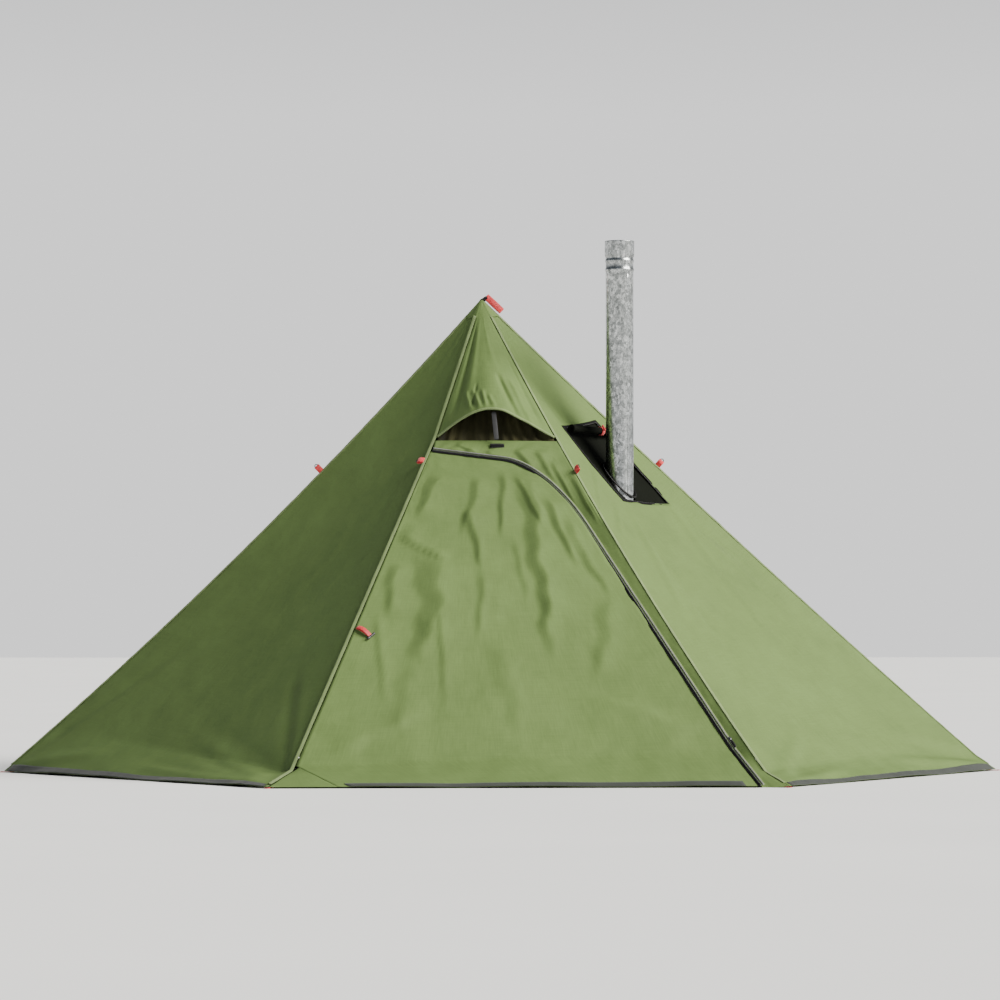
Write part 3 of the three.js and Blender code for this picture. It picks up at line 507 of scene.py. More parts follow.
class Nodes:
    """Short way to write a node tree."""

    def __init__(self, name):
        self.material = bpy.data.materials.new(name)
        self.material.use_nodes = True
        self.tree = self.material.node_tree
        self.shader = self.tree.nodes["Principled BSDF"]
        self.place = self.add("ShaderNodeTexCoord").outputs["Object"]
        self.cloth = self.add("ShaderNodeTexCoord").outputs["UV"]

    def add(self, kind, **settings):
        node = self.tree.nodes.new(kind)
        for key, value in settings.items():
            setattr(node, key, value)
        return node

    def link(self, output, target):
        self.tree.links.new(output, target)

    def feed(self, socket, value):
        """Sets a socket to a number or a colour, or links an output to it."""
        if isinstance(value, (int, float)):
            socket.default_value = value
        elif isinstance(value, tuple):
            socket.default_value = (*value, 1)
        else:
            self.link(value, socket)

    def blend(self, a, share, b, other):
        return self.math("ADD", self.math("MULTIPLY", a, share), self.math("MULTIPLY", b, other))

    def grey(self, colour):
        node = self.add("ShaderNodeRGBToBW")
        self.link(colour, node.inputs[0])
        return node.outputs[0]

    def stretched(self, source, scale):
        node = self.add("ShaderNodeMapping")
        node.inputs["Scale"].default_value = scale
        self.link(source, node.inputs["Vector"])
        return node.outputs["Vector"]

    def noise(self, scale, detail=3, source=None, roughness=0.5):
        node = self.add("ShaderNodeTexNoise")
        node.inputs["Scale"].default_value = scale
        node.inputs["Detail"].default_value = detail
        node.inputs["Roughness"].default_value = roughness
        self.link(self.place if source is None else source, node.inputs["Vector"])
        return node.outputs["Fac"]

    def wave(self, direction, scale, source=None, distortion=0.0):
        node = self.add("ShaderNodeTexWave", bands_direction=direction)
        node.inputs["Scale"].default_value = scale
        node.inputs["Distortion"].default_value = distortion
        self.link(self.cloth if source is None else source, node.inputs["Vector"])
        return node.outputs["Fac"]

    def voronoi(self, scale, output="Color", source=None):
        node = self.add("ShaderNodeTexVoronoi")
        node.inputs["Scale"].default_value = scale
        self.link(self.place if source is None else source, node.inputs["Vector"])
        return node.outputs[output]

    def math(self, operation, a, b):
        node = self.add("ShaderNodeMath", operation=operation)
        for socket, value in zip(node.inputs, (a, b)):
            self.feed(socket, value)
        return node.outputs[0]

    def ramp(self, source, stops):
        node = self.add("ShaderNodeValToRGB")
        paint_ramp(node, stops)
        self.link(source, node.inputs["Fac"])
        return node.outputs["Color"]

    def mix(self, factor, a, b, blend="MIX"):
        node = self.add("ShaderNodeMix", data_type="RGBA", blend_type=blend)
        colour_inputs = [socket for socket in node.inputs if socket.type == "RGBA"]
        pairs = ((node.inputs["Factor"], factor), (colour_inputs[0], a), (colour_inputs[1], b))
        for socket, value in pairs:
            self.feed(socket, value)
        return [socket for socket in node.outputs if socket.type == "RGBA"][0]

    def bump(self, height, distance, strength=1.0):
        node = self.add("ShaderNodeBump")
        node.inputs["Distance"].default_value = distance
        node.inputs["Strength"].default_value = strength
        self.link(height, node.inputs["Height"])
        previous = self.shader.inputs["Normal"].links
        if previous:
            self.link(previous[0].from_socket, node.inputs["Normal"])
        self.link(node.outputs["Normal"], self.shader.inputs["Normal"])

    def set(self, **values):
        for key, value in values.items():
            socket = self.shader.inputs[key.replace("_", " ")]
            self.feed(socket, value)
        return self


def tint(colour, factor):
    return tuple(min(1.0, c * factor) for c in colour)


def woven(name, colour, thread=0.0011, variation=0.16, sheen=0.05, rough=0.8, stain=0.3, gloss=0.2):
    """Plain woven cloth: threads both ways, slubs, uneven dye and a little dust."""
    n = Nodes(name)
    broad = n.noise(1.6, 4)
    patches = n.noise(9, 5, roughness=0.6)
    slub_across = n.noise(1.0, 3, n.stretched(n.cloth, (14, 420, 1)))
    slub_down = n.noise(1.0, 3, n.stretched(n.cloth, (420, 14, 1)))
    slubs = n.math("MULTIPLY", n.math("ADD", slub_across, slub_down), 0.5)
    shade = n.blend(broad, 0.5, patches, 0.5)
    base = n.ramp(shade, [(0.35, tint(colour, 1 - variation)), (0.65, tint(colour, 1 + variation))])
    threads = n.ramp(slubs, [(0.38, 0.86), (0.62, 1.0)])
    coloured = n.mix(1.0, base, threads, "MULTIPLY")
    worn = n.ramp(n.noise(3.1, 6, roughness=0.7), [(0.5, 0), (0.8, stain)])
    lighter = tuple(min(1.0, c * 1.22 + 0.012) for c in colour)
    n.set(Base_Color=n.mix(worn, coloured, lighter))
    roughness = n.ramp(patches, [(0.3, rough - 0.08), (0.7, rough + 0.08)])
    n.set(Roughness=roughness, Sheen_Weight=sheen, Sheen_Roughness=0.5, Specular_IOR_Level=gloss)
    frequency = 1 / (thread * 2)
    weave = n.math("MAXIMUM", n.wave("X", frequency / 3.2), n.wave("Y", frequency / 3.2))
    n.bump(weave, thread * 0.12, 0.5)
    n.bump(slubs, 0.0003, 0.5)
    n.bump(n.noise(42, 5), 0.0016, 0.5)
    return n.material


STITCH_INSET = 0.0018
STITCH_PITCH = 0.0036
TAPE_THREAD = 0.0009


def stitched(name, colour, width, rough=0.7, sheen=0.1, gloss=0.35):
    """Sewn tape: ribbed cloth with a row of stitches near each edge."""
    n = Nodes(name)
    split = n.add("ShaderNodeSeparateXYZ")
    n.link(n.cloth, split.inputs[0])
    across = split.outputs["X"]
    along = split.outputs["Y"]
    rows = None
    for centre in (STITCH_INSET, width - STITCH_INSET):
        near = n.math("LESS_THAN", n.math("ABSOLUTE", n.math("SUBTRACT", across, centre), 0), 0.0006)
        rows = near if rows is None else n.math("MAXIMUM", rows, near)
    dashes = n.math("GREATER_THAN", n.math("FRACT", n.math("DIVIDE", along, STITCH_PITCH), 0), 0.3)
    stitches = n.math("MULTIPLY", rows, dashes)
    patches = n.noise(14, 5, roughness=0.6)
    base = n.ramp(patches, [(0.32, tint(colour, 0.82)), (0.68, tint(colour, 1.15))])
    thread_colour = tuple(lerp(c, 0.5, 0.2) for c in colour)
    n.set(Base_Color=n.mix(stitches, base, thread_colour))
    roughness = n.ramp(patches, [(0.3, rough - 0.08), (0.7, rough + 0.08)])
    n.set(Roughness=roughness, Sheen_Weight=sheen, Sheen_Roughness=0.5, Specular_IOR_Level=gloss)
    ribs = n.wave("Y", 1 / (TAPE_THREAD * 2) / 3.2)
    n.bump(ribs, TAPE_THREAD * 0.15, 0.5)
    n.bump(stitches, 0.0006, 1.0)
    n.bump(n.noise(60, 4), 0.0005, 0.5)
    return n.material


def webbing(name, colour):
    """Tight ribbed webbing with a herringbone and fuzzed edges."""
    n = Nodes(name)
    patches = n.noise(45, 4, roughness=0.6)
    base = n.ramp(patches, [(0.3, tint(colour, 0.72)), (0.7, tint(colour, 1.2))])
    slant = n.stretched(n.cloth, (380, 240, 1))
    chevron = n.wave("DIAGONAL", 1.0, slant)
    shade = n.ramp(chevron, [(0.2, 0.75), (0.7, 1)])
    n.set(Base_Color=n.mix(1.0, base, shade, "MULTIPLY"))
    n.set(Roughness=n.ramp(patches, [(0.3, 0.5), (0.7, 0.68)]))
    n.set(Sheen_Weight=0.25, Sheen_Roughness=0.4)
    n.bump(chevron, 0.00025, 0.8)
    n.bump(n.noise(400, 3), 0.0002, 0.5)
    return n.material


def moulded(name, colour, rough=0.42, grain=700):
    """Moulded plastic or rubber with a fine grain and rubbed edges."""
    n = Nodes(name)
    patches = n.noise(30, 5, roughness=0.65)
    base = n.ramp(patches, [(0.35, tint(colour, 0.8)), (0.7, tint(colour, 1.5))])
    pointed = n.add("ShaderNodeNewGeometry").outputs["Pointiness"]
    edge = n.ramp(pointed, [(0.52, 0), (0.62, 0.6)])
    n.set(Base_Color=n.mix(edge, base, tint(colour, 3.5)))
    n.set(Roughness=n.ramp(patches, [(0.3, rough - 0.08), (0.7, rough + 0.12)]))
    n.set(Specular_IOR_Level=0.45)
    n.bump(n.noise(grain, 3), 0.00012, 0.6)
    return n.material


def galvanised():
    """Hot-dip zinc: a mosaic of crystals that differ in tone and gloss, with run marks."""
    n = Nodes("galvanised_spangle")
    warped = n.stretched(n.place, (1, 1, 0.7))
    crystals = n.grey(n.voronoi(125, "Color", warped))
    fine = n.grey(n.voronoi(330, "Color", warped))
    blend = n.blend(crystals, 0.6, fine, 0.4)
    runs = n.noise(1.0, 4, n.stretched(n.place, (50, 50, 2.5)), 0.6)
    tone = n.blend(blend, 0.8, runs, 0.25)
    zinc = [(0.25, (0.13, 0.14, 0.14)), (0.52, (0.29, 0.305, 0.305)), (0.8, (0.6, 0.62, 0.62))]
    n.set(Base_Color=n.ramp(tone, zinc))
    n.set(Roughness=n.ramp(blend, [(0.2, 0.36), (0.8, 0.24)]))
    n.set(Metallic=1.0)
    n.bump(blend, 0.0002, 0.08)
    n.bump(n.noise(220, 4), 0.0002, 0.12)
    return n.material


def brushed(name, colour, rough=0.3):
    """Drawn metal tube with fine lengthwise lines and faint smears."""
    n = Nodes(name)
    lines = n.noise(1.0, 4, n.stretched(n.place, (900, 900, 6)), 0.6)
    smear = n.noise(18, 4, roughness=0.6)
    n.set(Base_Color=n.ramp(lines, [(0.3, tint(colour, 0.8)), (0.7, tint(colour, 1.12))]))
    n.set(Roughness=n.ramp(smear, [(0.3, rough - 0.06), (0.7, rough + 0.14)]), Metallic=0.95)
    n.bump(lines, 0.00015, 0.4)
    return n.material


def netting():
    """Fine insect mesh hanging in soft folds: dark threads, painted shade in the holes and painted fold
    shading in the colour.
    """
    n = Nodes("vent_mesh")
    folds = n.noise(1.0, 4, n.stretched(n.place, (26, 3, 3)), 0.6)
    holes = n.math("MULTIPLY", n.wave("X", 110), n.wave("Y", 110))
    # painted fold shading: the colour runs from near-black to lighter brown across stretched noise that
    # stands for the folds
    mesh_browns_with_fold_shade = [(0.3, (0.01, 0.01, 0.004)), (0.62, (0.04, 0.038, 0.015)), (0.85, (0.075, 0.07, 0.03))]
    base = n.ramp(folds, mesh_browns_with_fold_shade)
    # painted shade: the holes are darkened as if the shaded inside of the tent showed through them
    shade = n.ramp(holes, [(0.25, 1), (0.7, 0.35)])
    n.set(Base_Color=n.mix(0.7, base, shade, "MULTIPLY"))
    n.set(Roughness=n.ramp(folds, [(0.3, 0.7), (0.7, 0.9)]), Specular_IOR_Level=0.2)
    n.bump(holes, 0.0004, 0.6)
    return n.material


OLIVE = (0.106, 0.162, 0.05)
RED = (0.62, 0.03, 0.035)
SEAM_GREEN = (0.125, 0.178, 0.058)
TAPE_BLACK = (0.006, 0.006, 0.006)

canopy_cloth = woven("canopy_cloth", OLIVE, 0.0009, 0.08, 0.0, 0.74, 0.2, 0.16)
net_cloth = netting()
seam_cloth = stitched("seam_cloth", SEAM_GREEN, 0.016)
door_seam_cloth = stitched("door_seam_cloth", SEAM_GREEN, 0.018)
hem_cloth = stitched("hem_cloth", (0.02, 0.024, 0.02), 0.022)
zip_cloth = stitched("zip_cloth", TAPE_BLACK, 0.012, rough=0.7, sheen=0.0, gloss=0.12)
jack_cloth = woven("jack_cloth", (0.0055, 0.0065, 0.0045), 0.0016, 0.3, 0.0, 0.9, 0.02, 0.05)
binding_cloth = stitched("binding_cloth", TAPE_BLACK, 0.018, rough=0.75, sheen=0.0, gloss=0.08)
red_webbing = webbing("red_webbing", RED)
black_plastic = moulded("black_plastic", (0.014, 0.014, 0.015))
black_rubber = moulded("black_rubber", (0.02, 0.02, 0.02), 0.75, 400)
zinc_metal = brushed("zip_metal", (0.16, 0.16, 0.17), 0.35)
steel = galvanised()
aluminium = brushed("pole_aluminium", (0.66, 0.67, 0.68))
coil_plastic = moulded("coil_plastic", (0.012, 0.012, 0.013), 0.35, 900)
grey_cord = webbing("grey_cord", (0.2, 0.205, 0.19))


# ---------- Cloth panels ----------

FINE = 1.0


def steps(count):
    return max(6, int(count * FINE))


def flat_size(index):
    width = float(width_at(index, 1.0))
    middle = (ridge(index, 1.0) + ridge(index + 1, 1.0)) / 2
    return width, float(np.linalg.norm(middle - PEAK))


WINDOW = dict(
    top=0.243, bottom=0.39, tilt=0.06, left_top=0.287, left_bottom=0.4, right_top=0.83, right_bottom=0.785,
)


def window_side(top, bottom, s):
    t = (s - WINDOW["top"]) / (WINDOW["bottom"] - WINDOW["top"])
    return lerp(top, bottom, np.clip(t, 0, 1.4))


def window_left(s):
    return window_side(WINDOW["left_top"], WINDOW["left_bottom"], s)


def window_right(s):
    return window_side(WINDOW["right_top"], WINDOW["right_bottom"], s)


def window_share(a, b, margin=0.0):
    """Shares (u, s) of a point in the window's square, grown by a margin in metres."""
    s = lerp(WINDOW["top"], WINDOW["bottom"], b)
    grow = margin / width_at(RIGHT_FRONT, s)
    u = lerp(window_left(s) - grow, window_right(s) + grow, a)
    slope = np.linalg.norm(ridge(RIGHT, 1.0) - ridge(RIGHT, 0.0))
    return u, s + WINDOW["tilt"] * b * (u - 0.5) + (2 * b - 1) * margin / slope


def make_panels():
    pieces = {}
    for index, name in enumerate(PANELS):
        if index in (FRONT, RIGHT_FRONT):
            continue
        share = np.linspace(0, 1, steps(110))[:, None]
        s = lerp(PEAK_TIP, 1.0, np.linspace(0, 1, steps(130)) ** 1.05)[None, :]
        grid = cloth_points(index, inset(index, share, s), s)
        pieces[index] = slab(f"canopy_{name}", grid, canopy_cloth)
    pieces[RIGHT_FRONT] = make_window_panel()
    for index, piece in pieces.items():
        settle(piece, "canopy", "canopy_fabric", f"panel_{PANELS[index]}")
    return pieces


def make_window_panel():
    """Panel with the outlet's window: its grid lines follow the window's sides."""
    side = steps(30)
    middle = steps(34)
    column = np.concatenate([
        np.linspace(0, 1, side, endpoint=False), np.linspace(1, 2, middle, endpoint=False),
        np.linspace(2, 3, side),
    ])[:, None]
    above = steps(26)
    beside = steps(26)
    down = np.concatenate([
        np.linspace(PEAK_TIP, WINDOW["top"], above, endpoint=False),
        np.linspace(WINDOW["top"], WINDOW["bottom"], beside, endpoint=False),
        np.linspace(WINDOW["bottom"], 1, steps(90)),
    ])
    s = down[None, :]
    first = inset(RIGHT_FRONT, 0, s)
    last = inset(RIGHT_FRONT, 1, s)
    left = window_left(s)
    right = window_right(s)
    u = lerp(left, right, np.clip(column - 1, 0, 1))
    u = np.where(column < 1, lerp(first, left, np.clip(column, 0, 1)), u)
    u = np.where(column > 2, lerp(right, last, np.clip(column - 2, 0, 1)), u)
    b = np.clip((s - WINDOW["top"]) / (WINDOW["bottom"] - WINDOW["top"]), 0, 1)
    below = np.where(s > WINDOW["bottom"], (1 - s) / (1 - WINDOW["bottom"]), 1)
    near = np.clip(np.minimum(column, 3 - column), 0, 1)
    shifted = s + WINDOW["tilt"] * b * below * near * (u - 0.5)
    grid = cloth_points(RIGHT_FRONT, u, shifted)

    def keep(i, j):
        return not (side <= i < side + middle and above <= j < above + beside)

    return slab("canopy_right_front", grid, canopy_cloth, keep=keep)


# ---------- Front: door, the cloth round it, zip ----------

VENT_TOP = 0.13
VENT_SILL_LEFT = 0.241
VENT_SILL_RIGHT = 0.27
ZIP_START = (0.02, 0.262)
ZIP_CROWN = (0.56, 0.294)
ZIP_SHOULDER = (0.905, 0.43)
ZIP_KNEE = (0.965, 0.885)
ZIP_END = (0.948, 1.0)
ZIP_CROWN_PULL = 0.095
ZIP_SHOULDER_PULL = 0.15
ZIP_TAPE_LIFT = 0.0024
GUSSET_LENGTH = 0.2
FRAME_INSET = 0.0012
CORNER, STRAIGHT, SKIRT = 1, 2, 3


def front_point(share):
    return on_panel(FRONT, share[0], share[1], 0)


zip_crown = front_point(ZIP_CROWN)
zip_shoulder = front_point(ZIP_SHOULDER)
zip_knee = front_point(ZIP_KNEE)
zip_end = front_point(ZIP_END)
zip_along = unit(zip_crown - front_point(ZIP_START))
zip_down = unit(zip_knee - zip_shoulder)


def zip_point(t):
    """Points along the zip: t from 0 to 4, one unit for each of its four stretches."""
    t = np.asarray(t, float)[..., None]
    level = lerp(front_point(ZIP_START), zip_crown, np.clip(t, 0, 1))
    a, b = zip_crown, zip_crown + zip_along * ZIP_CROWN_PULL
    d, e = zip_shoulder - zip_down * ZIP_SHOULDER_PULL, zip_shoulder
    c = np.clip(t - CORNER, 0, 1)
    corner = a * (1 - c) ** 3 + 3 * b * c * (1 - c) ** 2 + 3 * d * c * c * (1 - c) + e * c ** 3
    straight = lerp(zip_shoulder, zip_knee, np.clip(t - STRAIGHT, 0, 1))
    skirt = lerp(zip_knee, zip_end, np.clip(t - SKIRT, 0, 1))
    point = np.where(t <= CORNER, level, corner)
    point = np.where(t > STRAIGHT, straight, point)
    return np.where(t > SKIRT, skirt, point)


def share_down(t, first):
    level = lerp(first, ZIP_SHOULDER[1], np.clip(t / STRAIGHT, 0, 1))
    straight = lerp(ZIP_SHOULDER[1], ZIP_KNEE[1], np.clip(t - STRAIGHT, 0, 1))
    return np.where(t <= STRAIGHT, level, straight)


gusset_corner = ridge(FRONT_LEFT, 1.0) + np.array([GUSSET_LENGTH, 0, 0])
CORNER_MIDDLE = 1.5


def hinge_point(t):
    s = share_down(t, ZIP_START[1] + 0.004)
    edge = on_panel(FRONT, inset(FRONT, 0, s), s, 0)
    foot = lerp(edge, gusset_corner + np.array([0.001, 0, 0]), np.clip(t - SKIRT, 0, 1)[..., None])
    return np.where((t > SKIRT)[..., None], foot, edge)


def sill(u):
    return lerp(VENT_SILL_LEFT, VENT_SILL_RIGHT, u)


def frame_point(t):
    """The outer edge of the cloth round the door, opposite each point of the zip."""
    share = np.clip(t / CORNER_MIDDLE, 0, 1)
    s = sill(share)
    over = on_panel(FRONT, inset(FRONT, share, s, FRAME_INSET), s, 0)
    turn = np.clip((t - CORNER_MIDDLE) / (STRAIGHT - CORNER_MIDDLE), 0, 1)
    s = np.where(t <= STRAIGHT, lerp(VENT_SILL_RIGHT, ZIP_SHOULDER[1], turn), share_down(t, VENT_SILL_RIGHT))
    s = np.where(t > SKIRT, lerp(ZIP_KNEE[1], 1, np.clip(t - SKIRT, 0, 1)), s)
    side = on_panel(FRONT, inset(FRONT, 1, s, FRAME_INSET), s, 0)
    return np.where((t <= CORNER_MIDDLE)[..., None], over, side)


# Folds of the door, in metres across from the peak and down the slope: start and end of the
# crest, width of its steep side, height.
FOLD_GAIN = 1.35
DOOR_FOLDS = [
    ((-0.138, 1.05), (-0.215, 1.56), 0.085, 0.015), ((0.13, 0.72), (0.178, 1.56), 0.052, 0.012),
    ((-0.064, 0.88), (-0.027, 1.16), 0.026, 0.007), ((-0.027, 1.14), (-0.049, 1.45), 0.024, 0.005),
    ((0.17, 0.84), (0.27, 1.14), 0.026, 0.008), ((-0.29, 1.1), (-0.31, 1.34), 0.036, 0.007),
    ((-0.353, 1.3), (-0.34, 1.7), 0.012, 0.004), ((-0.165, 1.3), (-0.159, 1.72), 0.012, 0.004),
    ((-0.285, 0.985), (-0.13, 1.12), 0.014, 0.008), ((-0.02, 0.74), (-0.09, 1.0), 0.03, 0.006),
    ((0.05, 0.72), (0.035, 1.02), 0.022, 0.006), ((0.23, 0.92), (0.36, 1.28), 0.03, 0.006),
    ((-0.14, 0.73), (-0.22, 0.93), 0.04, 0.007), ((0.09, 0.74), (0.16, 0.98), 0.016, 0.005),
    ((0.36, 1.25), (0.3, 1.62), 0.05, 0.006), ((-0.5, 1.86), (-0.2, 1.7), 0.04, 0.006),
    ((0.58, 1.8), (0.25, 1.66), 0.04, 0.006), ((-0.24, 1.5), (-0.3, 1.85), 0.05, 0.004),
    ((0.02, 1.4), (0.06, 1.84), 0.06, 0.004), ((0.08, 1.0), (0.1, 1.3), 0.02, 0.003),
]
FRAME_FOLDS = [
    ((0.2, 0.68), (0.27, 0.86), 0.012, 0.004), ((0.26, 0.74), (0.33, 0.95), 0.012, 0.004),
    ((0.31, 0.84), (0.38, 1.02), 0.012, 0.004), ((0.39, 1.0), (0.47, 1.2), 0.014, 0.005),
    ((0.48, 1.2), (0.6, 1.48), 0.014, 0.004), ((0.62, 1.5), (0.72, 1.82), 0.016, 0.006),
    ((-0.17, 0.62), (-0.11, 0.69), 0.012, 0.006), ((-0.13, 0.62), (-0.09, 0.69), 0.01, 0.005),
    ((-0.06, 0.62), (-0.05, 0.69), 0.01, 0.004), ((0.0, 0.63), (0.04, 0.7), 0.012, 0.004),
    ((0.09, 0.63), (0.14, 0.72), 0.014, 0.006), ((0.15, 0.64), (0.21, 0.76), 0.014, 0.005),
    ((-0.1, 0.6), (-0.03, 0.64), 0.008, 0.004),
]


def crested(off, width):
    """Height across a fold: a steep facet up to the crest at 0, then a long shallow fall."""
    rise = lerp(np.clip(off / width + 1, 0, 1), smooth(off / width + 1), 0.35)
    return rise * np.exp(-np.maximum(off, 0) / (width * 1.7 + 0.02))


def flat_folds(points, folds):
    x, y = plan(FRONT, points)
    total = np.zeros(x.shape)
    for number, ((ax, ay), (bx, by), width, height) in enumerate(folds):
        run = np.array([bx - ax, by - ay])
        length = np.hypot(*run)
        run = run / length
        along = (x - ax) * run[0] + (y - ay) * run[1]
        t = along / length
        off = (x - ax) * run[1] - (y - ay) * run[0]
        bend = 0.16 * width * np.sin(along * 19 + number) + 0.1 * width * np.sin(along * 47 + 2 * number)
        narrow = width * lerp(1.1, 0.5, np.clip(t, 0, 1))
        taper = smooth(t / 0.22 + 0.12) * smooth((1 - t) / 0.35 + 0.05)
        total += FOLD_GAIN * height * taper * crested(off + bend, narrow)
    return total


def front_relief(points, edge, folds, seed):
    """Relief of the front's cloth; edge is the distance to its nearest sewn edge."""
    soft = 0.004 * noise_at(points * np.array([1.0, 0.5, 0.5]), 3.0, seed, 3)
    small = 0.0011 * noise_at(points, 14, seed + 1, 4)
    crease = 0.0012 * (1 - np.abs(noise_at(points, 4.6, seed + 2, 3)) * 3).clip(0, 1)
    pucker = 0.0012 * noise_at(points, 40, seed + 3, 2) * np.exp(-edge / 0.03)
    held = smooth(edge / 0.07)
    near = smooth(edge / 0.012)
    return held * (soft + crease) + near * (small + pucker) + smooth(edge / 0.009) * flat_folds(points, folds)


def ruled(first, last, columns, t):
    share = np.linspace(0, 1, columns)[:, None, None]
    return lerp(first(t)[None], last(t)[None], share)


def zip_times(per_stretch):
    counts = [per_stretch, per_stretch, per_stretch * 2, max(6, per_stretch // 3)]
    parts = [np.linspace(n, n + 1, count, endpoint=False) for n, count in enumerate(counts)]
    return np.concatenate([*parts, [4.0]])


def edge_distance(grid):
    """Distance of each grid point from the first and last columns."""
    first = np.linalg.norm(grid - grid[:1], axis=-1)
    last = np.linalg.norm(grid - grid[-1:], axis=-1)
    return np.minimum(first, last)


def make_front():
    t = zip_times(steps(34))
    door = ruled(hinge_point, lambda x: zip_point(x) - zip_side(x) * 0.001, steps(110), t)
    skirt = smooth((t - 3) / 1.0)[None, :]
    lift = front_relief(door, edge_distance(door), DOOR_FOLDS, 3)
    wave = np.sin(plan(FRONT, door)[0] * 13) * 0.0022
    lift = lift * (1 - 0.4 * skirt) + wave * skirt * smooth(edge_distance(door) / 0.06)
    door = door + NORMALS[FRONT] * lift[..., None]
    door_cloth = slab("door_cloth", door, canopy_cloth, outward=NORMALS[FRONT])
    settle(door_cloth, "door", "canopy_fabric", "door_flap")

    surround = ruled(lambda x: zip_point(x) + zip_side(x) * 0.001, frame_point, steps(34), t)
    lift = front_relief(surround, edge_distance(surround), FRAME_FOLDS, 9)
    share = np.linspace(0, 1, surround.shape[0])[:, None]
    hollow = -0.015 * np.sin(math.pi * share ** 0.4) * smooth((t - 0.8) / 1.2)[None, :]
    surround = surround + NORMALS[FRONT] * (lift + hollow)[..., None]
    frame_cloth = slab("door_frame_cloth", surround, canopy_cloth, outward=NORMALS[FRONT])
    settle(frame_cloth, "canopy", "canopy_fabric", "front_surround")

    knee = RIDGES[FRONT_LEFT]["knee"] + 0.004
    foot = on_panel(FRONT, inset(FRONT, 0, knee), knee, 0)
    corner = on_panel(FRONT, inset(FRONT, 0, 1.0), 1.0, 0)
    hinge = hinge_point(np.array([SKIRT + 0.08, 4.0])) + np.array([-0.0012, 0, 0])
    top = lerp(foot, hinge[0], np.linspace(0, 1, steps(30))[:, None])
    base = lerp(corner, hinge[1], np.linspace(0, 1, steps(30))[:, None])
    down = np.linspace(0, 1, steps(24))[None, :, None]
    small = lerp(top[:, None], base[:, None], down)
    small = small + NORMALS[FRONT] * (0.0006 * noise_at(small, 30, 5, 3))[..., None]
    corner_cloth = slab("door_corner_cloth", small, canopy_cloth, outward=NORMALS[FRONT])
    settle(corner_cloth, "canopy", "canopy_fabric", "corner_gusset")
    return door_cloth, frame_cloth, corner_cloth, door


def zip_side(t):
    """Unit direction across the zip, away from the door, in the plane of the cloth beside it."""
    t = np.asarray(t, float)
    step = 0.02
    ahead = zip_point(np.clip(t + step, 0, 3))
    behind = zip_point(np.clip(t - step, 0, 3 - step))
    along = ahead - behind
    along /= np.linalg.norm(along, axis=-1, keepdims=True)
    return np.cross(NORMALS[FRONT], along)


TOOTH_PITCH = 0.0032


def make_zip():
    """Black tape with a coil of teeth on the door, and grey piping on the frame."""
    t = zip_times(steps(70))
    line = zip_point(t)
    side = zip_side(t)
    lifted = NORMALS[FRONT] * (ZIP_TAPE_LIFT - TAPE + 0.0012)
    across = np.linspace(0.0012, 0.0105, 7)
    swell = NORMALS[FRONT] * 0.0004
    door_grid = np.stack([line - side * w + lifted + swell * math.sin(w * 520) for w in across])
    tape = slab("zip_tape", door_grid, zip_cloth, TAPE, outward=NORMALS[FRONT])
    settle(tape, "door", "zip_coil", "zip_tape_door")
    frame_grid = np.stack([line + side * w + lifted for w in across])
    flange = slab("zip_piping_flange", frame_grid, seam_cloth, TAPE, outward=NORMALS[FRONT])
    settle(flange, "canopy", "grey_piping", "zip_tape_frame")

    dense = resample(zip_point(zip_times(60)), TOOTH_PITCH / 4)
    pulse = 1 + 0.22 * np.sin(np.arange(len(dense)) * math.pi / 2)
    side_dense = np.cross(NORMALS[FRONT], np.gradient(dense, axis=0))
    side_dense /= np.linalg.norm(side_dense, axis=1, keepdims=True)
    coil_path = dense - side_dense * 0.0032 + NORMALS[FRONT] * (ZIP_TAPE_LIFT + 0.0012)
    coil = swept("zip_coil", coil_path, circle(0.0022, 8, 0.75), coil_plastic, up=NORMALS[FRONT], scale=pulse)
    settle(coil, "door", "zip_coil")
    piping_path = line + side * 0.0046 + NORMALS[FRONT] * (ZIP_TAPE_LIFT + 0.0022)
    piping = swept("zip_piping", piping_path, circle(0.0018, 10), grey_cord, up=NORMALS[FRONT])
    settle(piping, "canopy", "grey_piping")
    return tape, flange, coil, piping


def resample(points, spacing):
    points = np.asarray(points, float)
    lengths = np.concatenate([[0], np.cumsum(np.linalg.norm(np.diff(points, axis=0), axis=1))])
    count = max(3, int(lengths[-1] / spacing))
    at = np.linspace(0, lengths[-1], count)
    return np.stack([np.interp(at, lengths, points[:, k]) for k in range(3)], axis=1)


# ---------- Vent ----------

HOOD_PROUD = 0.09
HOOD_RISE = 0.016
HOOD_SAG = 0.14
SILL_MARGIN = 0.006
NET_INSET = 0.008
HOOD_FOLDS = [
    # share across, share down: start and end, width as a share across, height in metres
    (0.13, 0.1, 0.12, 0.8, 0.04, -0.012), (0.27, 0.1, 0.24, 0.75, 0.06, 0.008),
    (0.2, 0.74, 0.3, 0.95, 0.022, 0.008),
    (0.3, 0.76, 0.38, 0.96, 0.022, 0.009), (0.4, 0.78, 0.44, 0.96, 0.02, 0.007),
    (0.34, 0.7, 0.3, 0.92, 0.018, -0.006), (0.47, 0.84, 0.52, 0.97, 0.02, 0.005),
    (0.62, 0.6, 0.72, 0.97, 0.035, -0.012), (0.78, 0.62, 0.84, 0.97, 0.035, 0.008),
    (0.5, 0.05, 0.6, 0.5, 0.05, 0.004), (0.9, 0.4, 0.93, 0.9, 0.03, -0.006),
]


def hood_edge(a):
    return sill(a) - SILL_MARGIN - HOOD_RISE * np.sin(math.pi * a)


